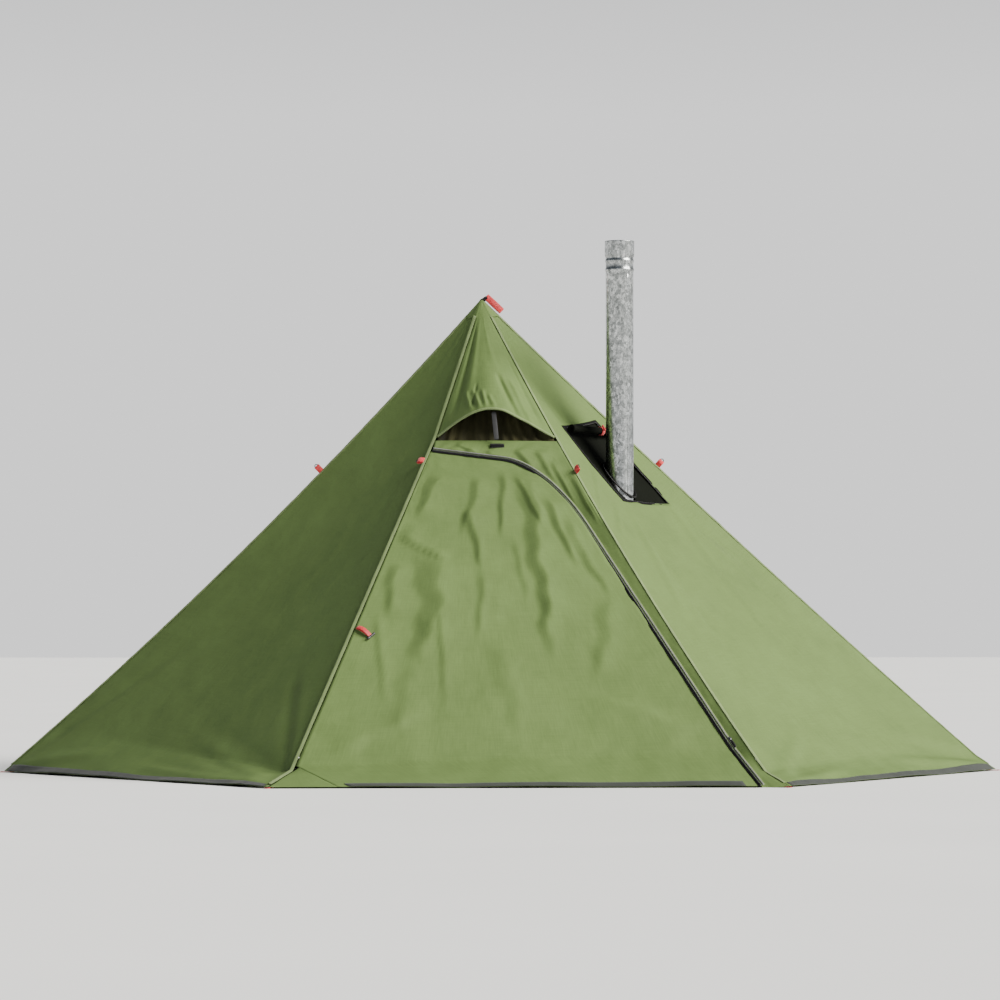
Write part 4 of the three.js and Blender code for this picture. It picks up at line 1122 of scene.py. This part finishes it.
def on_hood(a, b, lift=0.0):
    s = lerp(PEAK_TIP, hood_edge(a), b)
    points = on_panel(FRONT, inset(FRONT, a, s), s, 0)
    dome = HOOD_PROUD * np.sin(math.pi * a) * b ** 1.5
    below = ((a - 0.95) * 0.45 + (b - 0.55) * 0.39) / 0.595
    dome = dome * (1 - HOOD_SAG * smooth(below / 0.16))
    held = smooth(np.minimum(a, 1 - a) / 0.1)
    folds = np.zeros(np.broadcast(a, b).shape)
    for a0, b0, a1, b1, width, height in HOOD_FOLDS:
        t = (b - b0) / (b1 - b0)
        off = (a - lerp(a0, a1, t)) / width
        taper = smooth(t / 0.3 + 0.1) * smooth((1.2 - t) / 0.4) * smooth((1 - b) / 0.06 + 0.15)
        folds += height * np.exp(-off * off) * taper * np.clip(b, 0, 1)
    small = 0.0012 * noise_at(points, 16, 77, 4) + 0.003 * noise_at(points, 5, 78, 3)
    return points + NORMALS[FRONT] * (dome + held * (folds + small) + lift)[..., None]


def make_vent():
    a = np.linspace(0, 1, steps(90))[:, None]
    b = np.linspace(0, 1, steps(70))[None, :]
    hood = slab("vent_hood_cloth", on_hood(a, b), canopy_cloth, outward=NORMALS[FRONT])
    settle(hood, "canopy", "canopy_fabric", "vent_hood")
    edge_a = np.linspace(0.004, 0.996, steps(120))
    rim_path = on_hood(edge_a, np.full(edge_a.shape, 0.995))
    rim = swept("vent_hood_rim", rim_path, circle(0.0042, 12, 0.8), seam_cloth, up=NORMALS[FRONT])
    settle(rim, "canopy", "seam_tape")

    a = np.linspace(0, 1, steps(90))[:, None]
    b = np.linspace(0, 1, steps(40))[None, :]
    s = lerp(VENT_TOP, sill(a) + SILL_MARGIN, b)
    net_grid = on_panel(FRONT, inset(FRONT, a, s, NET_INSET), s, 0)
    held = smooth(np.minimum(a, 1 - a) / 0.08) * np.ones(b.shape)
    pleats = 0.0035 * np.sin(a * 58 + 2 * np.sin(a * 9)) * (0.4 + 0.6 * b) - 0.006
    net_grid = net_grid + NORMALS[FRONT] * (pleats * held - 0.0025)[..., None]
    net = slab("vent_netting", net_grid, net_cloth, 0.0006, outward=NORMALS[FRONT])
    settle(net, "canopy", "vent_mesh", "vent_net")

    low, high = corners("vent_prop")
    top = np.array([low[0] + 0.008, (low[1] + high[1]) / 2, high[2] - 0.002])
    foot = np.array([high[0] - 0.008, (low[1] + high[1]) / 2 + 0.003, low[2] + 0.004])
    path = lerp(top, foot, np.linspace(0, 1, 24)[:, None])
    path[:, 1] -= 0.002 * np.sin(np.linspace(0, math.pi, 24))
    width = 0.5 + 0.5 * smooth(np.minimum(np.linspace(0, 1, 24), np.linspace(1, 0, 24)) / 0.05)
    bar = rounded_bar(0.015, 0.0026)
    prop = swept("vent_prop_strip", path, bar, black_plastic, up=(0, -1, 0), scale=width)
    settle(prop, "vent_prop", "black_plastic", "vent_prop")

    low, high = corners("vent_tab")
    centre = (low + high) / 2
    half = (high[0] - low[0]) / 2
    arch = NORMALS[FRONT] * 0.0012
    across = np.linspace(-half, half, 13)
    path = [centre + np.array([x, 0, 0]) + arch * (1 - (x / half) ** 2) for x in across]
    tab = swept("vent_prop_tab", path, rounded_bar(0.017, 0.002), binding_cloth, up=NORMALS[FRONT])
    settle(tab, "canopy", "black_binding", "vent_tab")
    return hood, rim, net


# ---------- Seams and hems ----------

RIDGE_TAPE_WIDTH = 0.008
DOOR_RIDGE_TAPE_WIDTH = 0.014
FRONT_TAPE_TURN = 0.0015
TAPE_LIFT = 0.0016


def make_ridge_tapes():
    tapes = {}
    s = np.linspace(0.03, HEM_SHARE, steps(260))
    for index, r in enumerate(RIDGES):
        before = (index - 1) % 6
        left = right = RIDGE_TAPE_WIDTH
        if index == FRONT_LEFT:
            left, right = DOOR_RIDGE_TAPE_WIDTH, FRONT_TAPE_TURN
        if index == FRONT_RIGHT:
            left, right = FRONT_TAPE_TURN, DOOR_RIDGE_TAPE_WIDTH
        top = ridge(index, s)
        out = unit(NORMALS[before] + NORMALS[index])
        columns = []
        for share in np.linspace(1, 0, 8)[:-1]:
            side = on_panel(before, inset(before, 1, s, left * share), s)
            swell = 0.0045 if index == FRONT_LEFT else 0.0008
            columns.append(side + NORMALS[before] * (TAPE_LIFT + swell * math.sin(math.pi * share)))
        columns.append(top + out * (TAPE_LIFT + 0.0006))
        for share in np.linspace(0, 1, 5)[1:]:
            side = on_panel(index, inset(index, 0, s, right * share), s)
            columns.append(side + NORMALS[index] * (TAPE_LIFT + 0.0008 * math.sin(math.pi * share)))
        grid = np.stack(columns)
        grid = grid + out * (0.0007 * noise_at(grid, 38, index + 90, 2))[..., None]
        beside_door = index in (FRONT_LEFT, FRONT_RIGHT)
        finish = door_seam_cloth if beside_door else seam_cloth
        tape = slab(f"ridge_seam_{r['name']}", grid, finish, TAPE, outward=out)
        tapes[index] = settle(tape, "canopy", "seam_tape", f"ridge_tape_{r['name']}")
    return tapes


def make_hems(door_grid):
    hems = {}
    for index, name in enumerate(PANELS):
        if index == FRONT:
            continue
        share = np.linspace(0, 1, steps(160))[:, None]
        s = np.linspace(HEM_SHARE, 1, 7)[None, :]
        u = inset(index, share, 1.0, 0.02) * np.ones(s.shape)
        grid = cloth_points(index, u, s, 0.0018)
        grid = grid + NORMALS[index] * (0.0005 * noise_at(grid, 45, index + 120, 2))[..., None]
        hem = slab(f"hem_{name}", grid, hem_cloth, TAPE)
        hems[index] = settle(hem, "canopy", "hem_binding", f"hem_tape_{name}")
    columns = door_grid.shape[0]
    rows = slice(int(columns * 0.03), int(columns * 0.97))
    depth = (1 - HEM_SHARE) / (1 - ZIP_KNEE[1])
    knee_row = door_grid[rows, -max(6, steps(34) // 3) - 1]
    last_row = door_grid[rows, -1]
    grid = np.stack([lerp(last_row, knee_row, depth * k) for k in np.linspace(1, 0, 7)], axis=1)
    grid = grid + NORMALS[FRONT] * 0.0018
    hem = slab("hem_door", grid, hem_cloth, TAPE, outward=NORMALS[FRONT])
    hems[FRONT] = settle(hem, "door", "hem_binding", "hem_tape_door")
    return hems


# ---------- Peak, loops ----------

STRAP = 0.0018
CROWN_REACH = 0.07
REINFORCEMENT_REACH = 0.034


def centre_of(node):
    low, high = corners(node)
    return (low + high) / 2


def teardrop(base, forward, out, length, width, count=56):
    """Closed loop of webbing seen from the side, from base along forward and back."""
    points = []
    for angle in np.linspace(0, 2 * math.pi, count, endpoint=False):
        along = length * (1 - math.cos(angle)) / 2
        spread = width / 2 * math.sin(angle) * (0.45 + 0.55 * smooth(along / length * 1.6))
        points.append(base + forward * along + out * spread)
    return np.array(points + [points[0]])


def ring(name, centre, axis, radius, wire, finish):
    axis = unit(axis)
    side = unit(np.cross(axis, [0.21, 0.4, 0.9]))
    other = np.cross(axis, side)
    angles = np.linspace(0, 2 * math.pi, 37)
    path = [centre + (side * math.cos(a) + other * math.sin(a)) * radius for a in angles]
    return swept(name, path, circle(wire, 10), finish, closed=True, up=axis)


def make_peak():
    loop_low, loop_high = corners("hang_loop")
    slope = math.radians(43)
    forward = np.array([math.cos(slope), 0, -math.sin(slope)])
    reach = np.dot(loop_high - loop_low, np.abs(forward)) - 2 * math.sin(slope) * math.cos(slope) * 0.022
    base = np.array([APEX_X + 0.015, 0, APEX_Z + 0.008])
    path = teardrop(base, forward, BACKWARD, min(reach, 0.068), 0.015, 72)
    loop = swept("peak_loop", path, rounded_bar(0.021, 0.0024), red_webbing, closed=True, up=BACKWARD)
    settle(loop, "hang_loop", "red_webbing", "hang_loop")

    a = np.linspace(0, 6, steps(72) // 6 * 6 + 1)
    s = np.linspace(0.004, CROWN_REACH, 12)
    columns = []
    for value in a:
        index = int(value) % 6
        u = value - int(value)
        columns.append(lerp(ridge(index, s), ridge(index + 1, s), u))
    grid = np.stack(columns) - np.array([0, 0, CROWN_DROP + 0.004])
    patch = slab("peak_patch", grid, jack_cloth, 0.0016, outward=UP)
    settle(patch, "canopy", "canopy_fabric", "crown_patch")

    s = np.linspace(0.0008, REINFORCEMENT_REACH, 12)
    columns = []
    for value in a:
        index = int(value) % 6
        side = lerp(ridge(index, s), ridge(index + 1, s), value - int(value))
        columns.append(side + NORMALS[index] * (0.0016 + 0.0005 * np.sin(value * 9)))
    top = slab("peak_reinforcement", np.stack(columns), canopy_cloth, 0.0012, outward=UP)
    settle(top, "canopy", "canopy_fabric")
    rise = np.linspace(0, 1, 10)[:, None]
    wrap_path = lerp(PEAK + np.array([-0.003, 0, -0.008]), base + forward * 0.004, rise)
    cap = swept("peak_loop_anchor", wrap_path, rounded_bar(0.014, 0.007), binding_cloth, up=(0, 1, 0))
    settle(cap, "canopy", "black_binding")


GUY_SHARES = [0.34, 0.33, 0.33, 0.337, 0.285, 0.33]
GUY_LENGTH = 0.027
GUY_RING = (0.0055, 0.0014)  # radius, and radius of its wire
PEG_EYELET = (0.0042, 0.0011)
PEG_HALF_WIDTH = 0.0065


def make_guy_loops():
    """Folded tab of webbing with a black ring, sewn into each ridge."""
    for index, r in enumerate(RIDGES):
        s = GUY_SHARES[index]
        before = (index - 1) % 6
        along = unit(ridge(index, s + 0.01) - ridge(index, s - 0.01))
        forward = unit(NORMALS[before] + NORMALS[index])
        lift = 0.001
        if index == FRONT_LEFT:
            forward = unit(np.cross(along, NORMALS[LEFT]) + NORMALS[LEFT] * 0.3)
            lift = 0.006
        side = np.cross(along, forward)
        base = ridge(index, s) + forward * 0.002 + NORMALS[before] * (lift if index == FRONT_LEFT else 0)
        reach = GUY_LENGTH * 0.8
        path = teardrop(base, forward, side, reach, 0.009, 40)
        outline = rounded_bar(0.019, STRAP)
        tab = swept(f"guy_tab_{r['name']}", path, outline, red_webbing, closed=True, up=side)
        settle(tab, "canopy", "red_webbing", f"guy_loop_{r['name']}")
        eye_at = base + forward * reach
        eye = ring(f"guy_ring_{r['name']}", eye_at, side, *GUY_RING, black_plastic)
        settle(eye, "canopy", "black_plastic")


def make_peg_loops():
    """Flat loops of webbing at the corners, with a black eyelet for the peg."""
    for r in RIDGES:
        node = f"peg_loop_{r['name']}"
        forward = unit([r["x"], r["y"], 0])
        side = np.cross([0, 0, 1.0], forward)
        corner = np.array([r["x"], r["y"], 0.0011])
        rows = 15
        columns = np.linspace(-0.034, PEG_REACH, steps(44))
        hole = PEG_REACH - 0.0065
        grid = np.zeros((len(columns), rows, 3))
        for i, x in enumerate(columns):
            round_end = math.sqrt(max(0.0, 1 - max(0.0, (x - hole) / 0.0066) ** 2))
            for j, w in enumerate(np.linspace(-1, 1, rows)):
                rise = 0.0004 * math.sin(x * 260) * (1 if abs(x - hole) > 0.006 else 0)
                reach = w * PEG_HALF_WIDTH * max(round_end, 0.12)
                grid[i, j] = corner + forward * x + side * reach + UP * (0.001 + abs(rise))

        def keep(i, j):
            cell = grid[i:i + 2, j:j + 2].reshape(-1, 3).mean(axis=0) - corner
            return math.hypot(np.dot(cell, forward) - hole, np.dot(cell, side)) > 0.0034

        strap = slab(f"peg_strap_{r['name']}", grid, red_webbing, 0.0018, keep, UP)
        settle(strap, "canopy", "red_webbing", node)
        eye_at = corner + forward * hole + UP * 0.0006
        eye = ring(f"peg_eyelet_{r['name']}", eye_at, UP, *PEG_EYELET, black_plastic)
        settle(eye, "canopy", "black_plastic")


# ---------- Stove-pipe outlet ----------

WINDOW_BINDING = 0.009
JACK_MARGIN = 0.016
PIPE = centre_of("flue_upper")
PIPE_RADIUS = 0.044
HOLE_CLEARANCE = 0.0045


def window_points(a, b, margin=0.0, lift=0.0):
    u, s = window_share(a, b, margin)
    return on_panel(RIGHT_FRONT, u, s) + NORMALS[RIGHT_FRONT] * lift


def make_outlet():
    count = steps(90)
    a = np.linspace(0, 1, count)[:, None]
    b = np.linspace(0, 1, count)[None, :]
    grid = window_points(a, b, JACK_MARGIN)
    sag = 0.006 * np.sin(math.pi * a) * np.sin(math.pi * b)
    ripple = 0.0016 * noise_at(grid, 9, 31, 3)
    ripple = ripple + 0.0025 * np.sin(a * 17 + b * 5) * np.sin(math.pi * a) * np.sin(math.pi * b)
    grid = grid - NORMALS[RIGHT_FRONT] * (0.0035 + sag * 0.4 - ripple)[..., None]
    gap = np.hypot(grid[..., 0] - PIPE[0], grid[..., 1] - PIPE[1])
    hole = PIPE_RADIUS + HOLE_CLEARANCE

    # points near the rim of the hole slide onto it, so that the edge is smooth
    cell = 0.0065
    near = np.abs(gap - hole) < cell * 0.55
    factor = np.where(near, hole / gap, 1.0)
    moved = grid.copy()
    moved[..., 0] = PIPE[0] + (grid[..., 0] - PIPE[0]) * factor
    moved[..., 1] = PIPE[1] + (grid[..., 1] - PIPE[1]) * factor
    n = NORMALS[RIGHT_FRONT]
    drop = (moved - grid) @ n
    moved[..., 2] -= drop / n[2]
    gap = np.hypot(moved[..., 0] - PIPE[0], moved[..., 1] - PIPE[1])

    def keep(i, j):
        return gap[i:i + 2, j:j + 2].mean() > hole and gap[i:i + 2, j:j + 2].min() > hole - 0.0008

    cloth = slab("outlet_cloth", moved, jack_cloth, 0.0014, keep)
    settle(cloth, "canopy", "fireproof_cloth", "stove_jack")

    rim_points = []
    for angle in np.linspace(0, 2 * math.pi, 73):
        x = PIPE[0] + (hole + 0.002) * math.cos(angle)
        y = PIPE[1] + (hole + 0.002) * math.sin(angle)
        centre = window_points(0.5, 0.5)
        z = centre[2] - (n[0] * (x - centre[0]) + n[1] * (y - centre[1])) / n[2] - 0.003
        rim_points.append((x, y, z))
    rim = swept("outlet_rim", rim_points, circle(0.0034, 10, 0.8), binding_cloth, closed=True, up=n)
    settle(rim, "canopy", "black_binding")

    border = steps(50)
    line = np.concatenate([np.linspace(0, 1, border, endpoint=False)] * 4)
    square = np.concatenate([
        np.stack([line[:border], np.zeros(border)], 1), np.stack([np.ones(border), line[:border]], 1),
        np.stack([1 - line[:border], np.ones(border)], 1), np.stack([np.zeros(border), 1 - line[:border]], 1),
    ])
    square = np.concatenate([square, square[:1]])
    margins = np.linspace(-0.003, WINDOW_BINDING, 7)
    rings = []
    for k, margin in enumerate(margins):
        swell = 0.0007 * math.sin(math.pi * k / 6)
        rings.append(window_points(square[:, 0], square[:, 1], margin, TAPE_LIFT + swell))
    grid = np.stack(rings)
    grid = grid + n * (0.0006 * noise_at(grid, 40, 51, 2))[..., None]
    binding = slab("outlet_binding", grid, binding_cloth, TAPE, outward=n)
    settle(binding, "canopy", "black_binding", "stove_jack_binding")
    return cloth, rim, binding


ROLL_RADIUS = 0.0125
ROLL_LIFT = 0.017
ROLL_DROP_LEFT = 0.06
ROLL_DROP_RIGHT = 0.16
ROLL_TURNS = 2.6
ROLL_TIE_SHARE = 0.74


def make_cover_roll():
    """The outlet's cover rolled up above it: a spiral of cloth held by a red tie."""
    start = window_points(0.0, ROLL_DROP_LEFT)
    end = window_points(1.0, ROLL_DROP_RIGHT)
    n = NORMALS[RIGHT_FRONT]
    along = unit(end - start)
    up_slope = unit(np.cross(n, along))
    if up_slope[2] < 0:
        up_slope = -up_slope
    stations = steps(60)
    count = steps(110)
    grid = np.zeros((stations, count + 14, 3))
    length = np.linalg.norm(end - start)
    for i, share in enumerate(np.linspace(0.02, 0.98, stations)):
        pinch = 1 - 0.16 * math.exp(-((share - ROLL_TIE_SHARE) / 0.05) ** 2) + 0.035 * math.sin(share * 23)
        centre = start + along * (length * share) + n * (ROLL_LIFT + 0.0006 * math.sin(share * 31))
        ragged = 0.0012 * math.sin(share * 40)
        for j in range(count):
            turn = j / (count - 1)
            angle = -math.pi / 2 + 2 * math.pi * ROLL_TURNS * (1 - turn) + 0.12 * math.sin(share * 9)
            radius = lerp(0.004, ROLL_RADIUS, turn) * pinch + 0.0004 * math.sin(angle * 3 + share * 20)
            grid[i, j] = centre + up_slope * (radius * math.cos(angle)) + n * (radius * math.sin(angle))
            grid[i, j] += along * (ragged * (1 - turn) if i in (0, stations - 1) else 0)
        last = grid[i, count - 1]
        sewn = start + along * (length * share) + n * 0.0026 + up_slope * 0.002
        for k in range(14):
            grid[i, count + k] = lerp(last, sewn, (k + 1) / 14)
    roll = slab("outlet_cover_roll", grid, jack_cloth, 0.0011, outward=None)
    make_outward(roll)
    settle(roll, "jack_flap", "fireproof_cloth", "jack_flap_roll")

    spot = start + along * (length * ROLL_TIE_SHARE) + n * ROLL_LIFT
    angles = np.linspace(-math.pi / 2 + 0.5, 1.5 * math.pi - 0.5, 40)
    radius = ROLL_RADIUS * 0.9 + 0.0016
    path = [spot + up_slope * (radius * math.cos(a)) + n * (radius * math.sin(a)) for a in angles]
    tie = swept("outlet_tie", path, rounded_bar(0.015, STRAP), red_webbing, up=n)
    settle(tie, "jack_flap", "red_webbing", "jack_flap_tie")
    top = spot + n * (radius + 0.003)
    knot = [(0, -0.013), (0.002, -0.0125), (0.0036, -0.009), (0.0028, -0.004), (0.0042, 0)]
    knot += [(r, -d) for r, d in reversed(knot[:-1])]
    toggle = turned_about("outlet_toggle", knot, top, up_slope + along * 0.35, red_webbing)
    settle(toggle, "jack_flap", "red_webbing", "jack_flap_toggle")


def make_pipe():
    centre = (PIPE[0], PIPE[1])
    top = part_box("flue_upper")[1][2]
    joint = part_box("flue_upper")[0][2]
    radius = PIPE_RADIUS
    wall = 0.0008
    neck_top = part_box("flue_lower")[1][2]
    outside = [(radius, 0.0004), (radius + 0.0006, 0.003), (radius, 0.006), (radius, joint - 0.008)]
    outside += [(radius - 0.0012, joint - 0.001), (radius - 0.002, joint + 0.004), (radius - 0.002, neck_top)]
    inside = [(r - wall, z) for r, z in reversed(outside)]
    lower = lathe("pipe_lower", outside + inside, centre, steel)
    settle(lower, "flue_lower", "galvanised_steel", "flue_lower")

    outside = [(radius, joint + 0.0008), (radius + 0.0005, joint + 0.003), (radius, joint + 0.006)]
    for bead in (top - 0.092, top - 0.064):
        outside += [(radius, bead - 0.007), (radius + 0.0012, bead - 0.004), (radius + 0.0026, bead)]
        outside += [(radius + 0.0012, bead + 0.004), (radius, bead + 0.007)]
    outside += [(radius, top - 0.052), (radius + 0.0024, top - 0.047), (radius + 0.003, top - 0.044)]
    outside += [(radius + 0.003, top - 0.004), (radius + 0.0034, top - 0.0015), (radius + 0.003, top)]
    inside = [(r - wall - 0.0003, z) for r, z in reversed(outside)]
    upper = lathe("pipe_upper", outside + inside, centre, steel)
    settle(upper, "flue_upper", "galvanised_steel", "flue_upper")
    # lock seam down the side of the pipe
    seams = (
        ("pipe_seam_lower", "flue_lower", 0.008, joint - 0.01),
        ("pipe_seam_upper", "flue_upper", joint + 0.008, top - 0.1),
    )
    for name, body, low, high in seams:
        angle = math.radians(-58)
        x = PIPE[0] + (radius + 0.0002) * math.cos(angle)
        y = PIPE[1] + (radius + 0.0002) * math.sin(angle)
        path = [(x, y, z) for z in np.linspace(low, high, 40)]
        seam = swept(name, path, rounded_bar(0.006, 0.0014), steel, up=(math.cos(angle), math.sin(angle), 0))
        settle(seam, body, "galvanised_steel")


LOWER_TUBE = (0.016, 0.0152, 0.0147)
UPPER_TUBE = (0.0138, 0.0132, 0.0126)


def tube(low, high, outer, end, bore):
    """Loop of (radius, height) round the wall of a tube with eased ends."""
    return [(end, low), (outer, low + 0.001), (outer, high - 0.001), (end, high), (bore, high), (bore, low)]


def make_pole():
    centre = (APEX_X, 0)
    lower_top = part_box("pole_lower")[1][2]
    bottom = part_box("pole_lower")[0][2]
    lower = lathe("pole_lower_tube", tube(bottom, lower_top, *LOWER_TUBE), centre, aluminium, 48)
    settle(lower, "canopy", "pole_aluminium", "pole_lower")
    low, high = (v[2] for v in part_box("pole_upper"))
    upper = lathe("pole_upper_tube", tube(low, high, *UPPER_TUBE), centre, aluminium, 48)
    settle(upper, "pole_upper", "pole_aluminium", "pole_upper")
    foot_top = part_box("pole_foot")[1][2]
    foot = [(0.0, 0.0), (0.024, 0.0), (0.026, 0.0015), (0.026, 0.005)]
    foot += [(0.0225, 0.008), (0.0205, 0.012), (0.0205, 0.016)]
    foot += [(0.0198, 0.018), (0.0205, 0.02), (0.0198, 0.026), (0.019, foot_top - 0.001), (0.018, foot_top)]
    foot += [(0.0166, foot_top), (0.0164, 0.0085), (0.0, 0.0082)]
    ground = np.array([APEX_X, 0, 0])
    rubber = turned_about("pole_foot_rubber", foot, ground, UP, black_rubber, 48)
    settle(rubber, "canopy", "black_rubber", "pole_foot")
    tip_low, tip_top = (v[2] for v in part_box("pole_tip"))
    shoulder = high + 0.0008
    ball = tip_top - 0.012
    tip = [(0.0, tip_low), (0.011, tip_low), (0.0118, tip_low + 0.002)]
    tip += [(0.0118, shoulder), (0.0136, shoulder), (0.0136, shoulder + 0.0025)]
    dome = np.linspace(-0.8, math.pi / 2, 12)[:-1]
    tip += [(0.012 * math.cos(a), ball + 0.012 * math.sin(a)) for a in dome]
    tip += [(0.0, tip_top)]
    knob = turned_about("pole_tip_knob", tip, ground, UP, black_rubber, 48)
    settle(knob, "pole_upper", "black_rubber", "pole_tip")


# ---------- Door tie, zip slider and pull ----------

TIE_SHARE = 0.625


def make_door_tie():
    toggle_centre = centre_of("door_tie_toggle")
    s = TIE_SHARE
    base = on_panel(FRONT, inset(FRONT, 0, s, 0.010), s, 0) + NORMALS[FRONT] * 0.004
    run = toggle_centre - base
    forward = unit(run - NORMALS[FRONT] * np.dot(run, NORMALS[FRONT]))
    side = np.cross(NORMALS[FRONT], forward)
    length = float(np.dot(run, forward))
    straps = (("door_tie_strap_upper", 0.0018, 0.009), ("door_tie_strap_lower", 0.0, 0.003))
    for k, (name, offset, arch) in enumerate(straps):
        path = []
        for t in np.linspace(0, 1, 26):
            rise = offset * (1 - t) + arch * math.sin(math.pi * t ** 0.9)
            path.append(base + forward * (length * t) + NORMALS[FRONT] * (rise + 0.002 * t))
        strap = swept(name, path, rounded_bar(0.0135, STRAP), red_webbing, up=NORMALS[FRONT])
        settle(strap, "door_tie", "red_webbing", *(["door_tie_strap"] if k == 0 else []))
    bar = [(0, -0.0165), (0.002, -0.0163), (0.0038, -0.0148), (0.0044, -0.0125)]
    bar += [(0.0036, -0.008), (0.0031, -0.003)]
    bar += [(0.0036, -0.0015), (0.0036, 0.0015)]
    bar += [(r, -d) for r, d in reversed(bar[:6])]
    middle = base + forward * (length + 0.002) + NORMALS[FRONT] * 0.0035
    toggle = turned_about("door_tie_bar", bar, middle, side, black_plastic)
    settle(toggle, "door_tie", "black_plastic", "door_tie_toggle")


def make_slider():
    centre = centre_of("zip_slider")
    up = -zip_down
    face = NORMALS[FRONT]
    face = unit(face - up * np.dot(face, up))
    side = np.cross(face, up)
    shape = [(-0.008, 0.0036), (-0.0074, 0.0042), (0.002, 0.0046)]
    shape += [(0.006, 0.0054), (0.0086, 0.0034), (0.009, 0.0)]
    outline = shape + [(x, -w) for x, w in reversed(shape[:-1])]
    layers = [(-0.0014, 0.92), (-0.0006, 1.0), (0.0012, 1.0), (0.0019, 0.9), (0.0022, 0.7)]
    vertices = []
    for height, size in layers:
        for x, w in outline:
            vertices.append(centre + up * (x * size) + side * (w * size) + face * height)
    count = len(outline)
    faces = [tuple(range(count)), tuple(reversed(range((len(layers) - 1) * count, len(layers) * count)))]
    faces += side_faces(len(layers), count, False)
    slider = make_outward(new_object("zip_slider_body", vertices, faces, zinc_metal))
    bevel = slider.modifiers.new("bevel", "BEVEL")
    bevel.width = 0.0003
    bevel.segments = 2
    settle(slider, "zip_slider", "zip_metal", "zip_slider")
    bridge = []
    for x in np.linspace(-0.005, 0.005, 15):
        rise = 0.002 + 0.0022 * math.sin(math.pi * (x + 0.005) / 0.01)
        bridge.append(centre + up * x + face * rise)
    bail = swept("zip_slider_bail", bridge, rounded_bar(0.003, 0.0011), zinc_metal, up=face)
    settle(bail, "zip_slider", "zip_metal")
    start = centre_of("zip_pull") + up * 0.013
    forward = -up
    path = teardrop(start, forward, face, 0.030, 0.0034, 44)
    pull = swept("zip_pull_tab", path, rounded_bar(0.0075, 0.0012), binding_cloth, closed=True, up=face)
    settle(pull, "zip_pull", "black_binding", "zip_pull")


# ---------- Plain shapes of the hood, net and window ---


def plain_hood():
    a = np.linspace(0, 1, 24)[:, None]
    b = np.linspace(0, 1, 24)[None, :]
    s = lerp(PEAK_TIP, hood_edge(a), b)
    grid = on_panel(FRONT, inset(FRONT, a, s), s, 0)
    dome = HOOD_PROUD * np.sin(math.pi * a) * b ** 1.5
    return grid + NORMALS[FRONT] * dome[..., None]


def plain_net():
    a = np.linspace(0, 1, 12)[:, None]
    s = lerp(VENT_TOP, sill(a) + SILL_MARGIN, np.linspace(0, 1, 12)[None, :])
    return on_panel(FRONT, inset(FRONT, a, s, NET_INSET), s, 0)


def plain_window():
    side = np.linspace(0, 1, 16)
    return window_points(side[:, None], side[None, :], JACK_MARGIN)


# ---------- Assembly ----------

panels = make_panels()
door_cloth, frame_cloth, corner_cloth, door_grid = make_front()
zip_tape, zip_flange, zip_coil, zip_piping = make_zip()
hood, hood_rim, net = make_vent()
ridge_tapes = make_ridge_tapes()
hems = make_hems(door_grid)
make_peak()
make_guy_loops()
make_peg_loops()
outlet_cloth, outlet_rim, outlet_binding = make_outlet()
make_cover_roll()
make_pipe()
make_pole()
make_door_tie()
make_slider()

# The clamp keeps its own shape, with softened edges.
for node in ("pole_clamp", "pole_clamp_lever"):
    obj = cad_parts[node]
    obj.data.materials.clear()
    obj.data.materials.append(black_plastic)
    softened = obj.modifiers.new("bevel", "BEVEL")
    softened.width = 0.0008
    softened.segments = 2
    softened.limit_method = "ANGLE"

# ---------- Flat sizes and plain shapes of the cloth, worked out and not used ---

for index, piece in panels.items():
    width, length = flat_size(index)

seam_times = zip_times(24)
ruled(hinge_point, zip_point, 24, seam_times)
ruled(zip_point, frame_point, 8, seam_times)
plain_hood()
plain_net()
plain_window()


def stage():
    """Pale floor, a broad key light high on the right, and a pale glow along the horizon."""
    reach = 60.0
    corners = [(-reach, -reach, 0), (reach, -reach, 0), (reach, reach, 0), (-reach, reach, 0)]
    n = Nodes("floor_paint")
    n.set(Base_Color=n.ramp(n.noise(0.8, 3), [(0.3, 0.8), (0.7, 0.83)]))
    n.set(Roughness=0.9)
    floor = new_object("floor", corners, [(0, 1, 2, 3)], n.material)
    floor.location.z = -0.0005
    floor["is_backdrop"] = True
    world = bpy.data.worlds.new("world")
    world.use_nodes = True
    nodes = world.node_tree.nodes
    links = world.node_tree.links
    place = nodes.new("ShaderNodeTexCoord")
    split = nodes.new("ShaderNodeSeparateXYZ")
    ramp = nodes.new("ShaderNodeValToRGB")
    stops = [(0.0, 1.0), (0.13, 1.0), (0.3, (0.13, 0.15, 0.17)), (1.0, (0.1, 0.12, 0.15))]
    paint_ramp(ramp, stops)
    links.new(place.outputs["Generated"], split.inputs[0])
    links.new(split.outputs["Z"], ramp.inputs["Fac"])
    background = nodes["Background"]
    links.new(ramp.outputs["Color"], background.inputs["Color"])
    background.inputs["Strength"].default_value = SKY_STRENGTH
    bpy.context.scene.world = world
    data = bpy.data.lights.new("key", "SUN")
    data.energy = KEY_STRENGTH
    data.color = (1.0, 0.97, 0.9)
    data.angle = KEY_SPREAD
    key = bpy.data.objects.new("key", data)
    bpy.context.collection.objects.link(key)
    key.rotation_euler = (-Vector(KEY_FROM)).to_track_quat("-Z", "Y").to_euler()


stage()

boxes = {"cad": CAD_BOUNDS, "visual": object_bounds()}
{key: [[float(v) for v in corner] for corner in value] for key, value in boxes.items()}
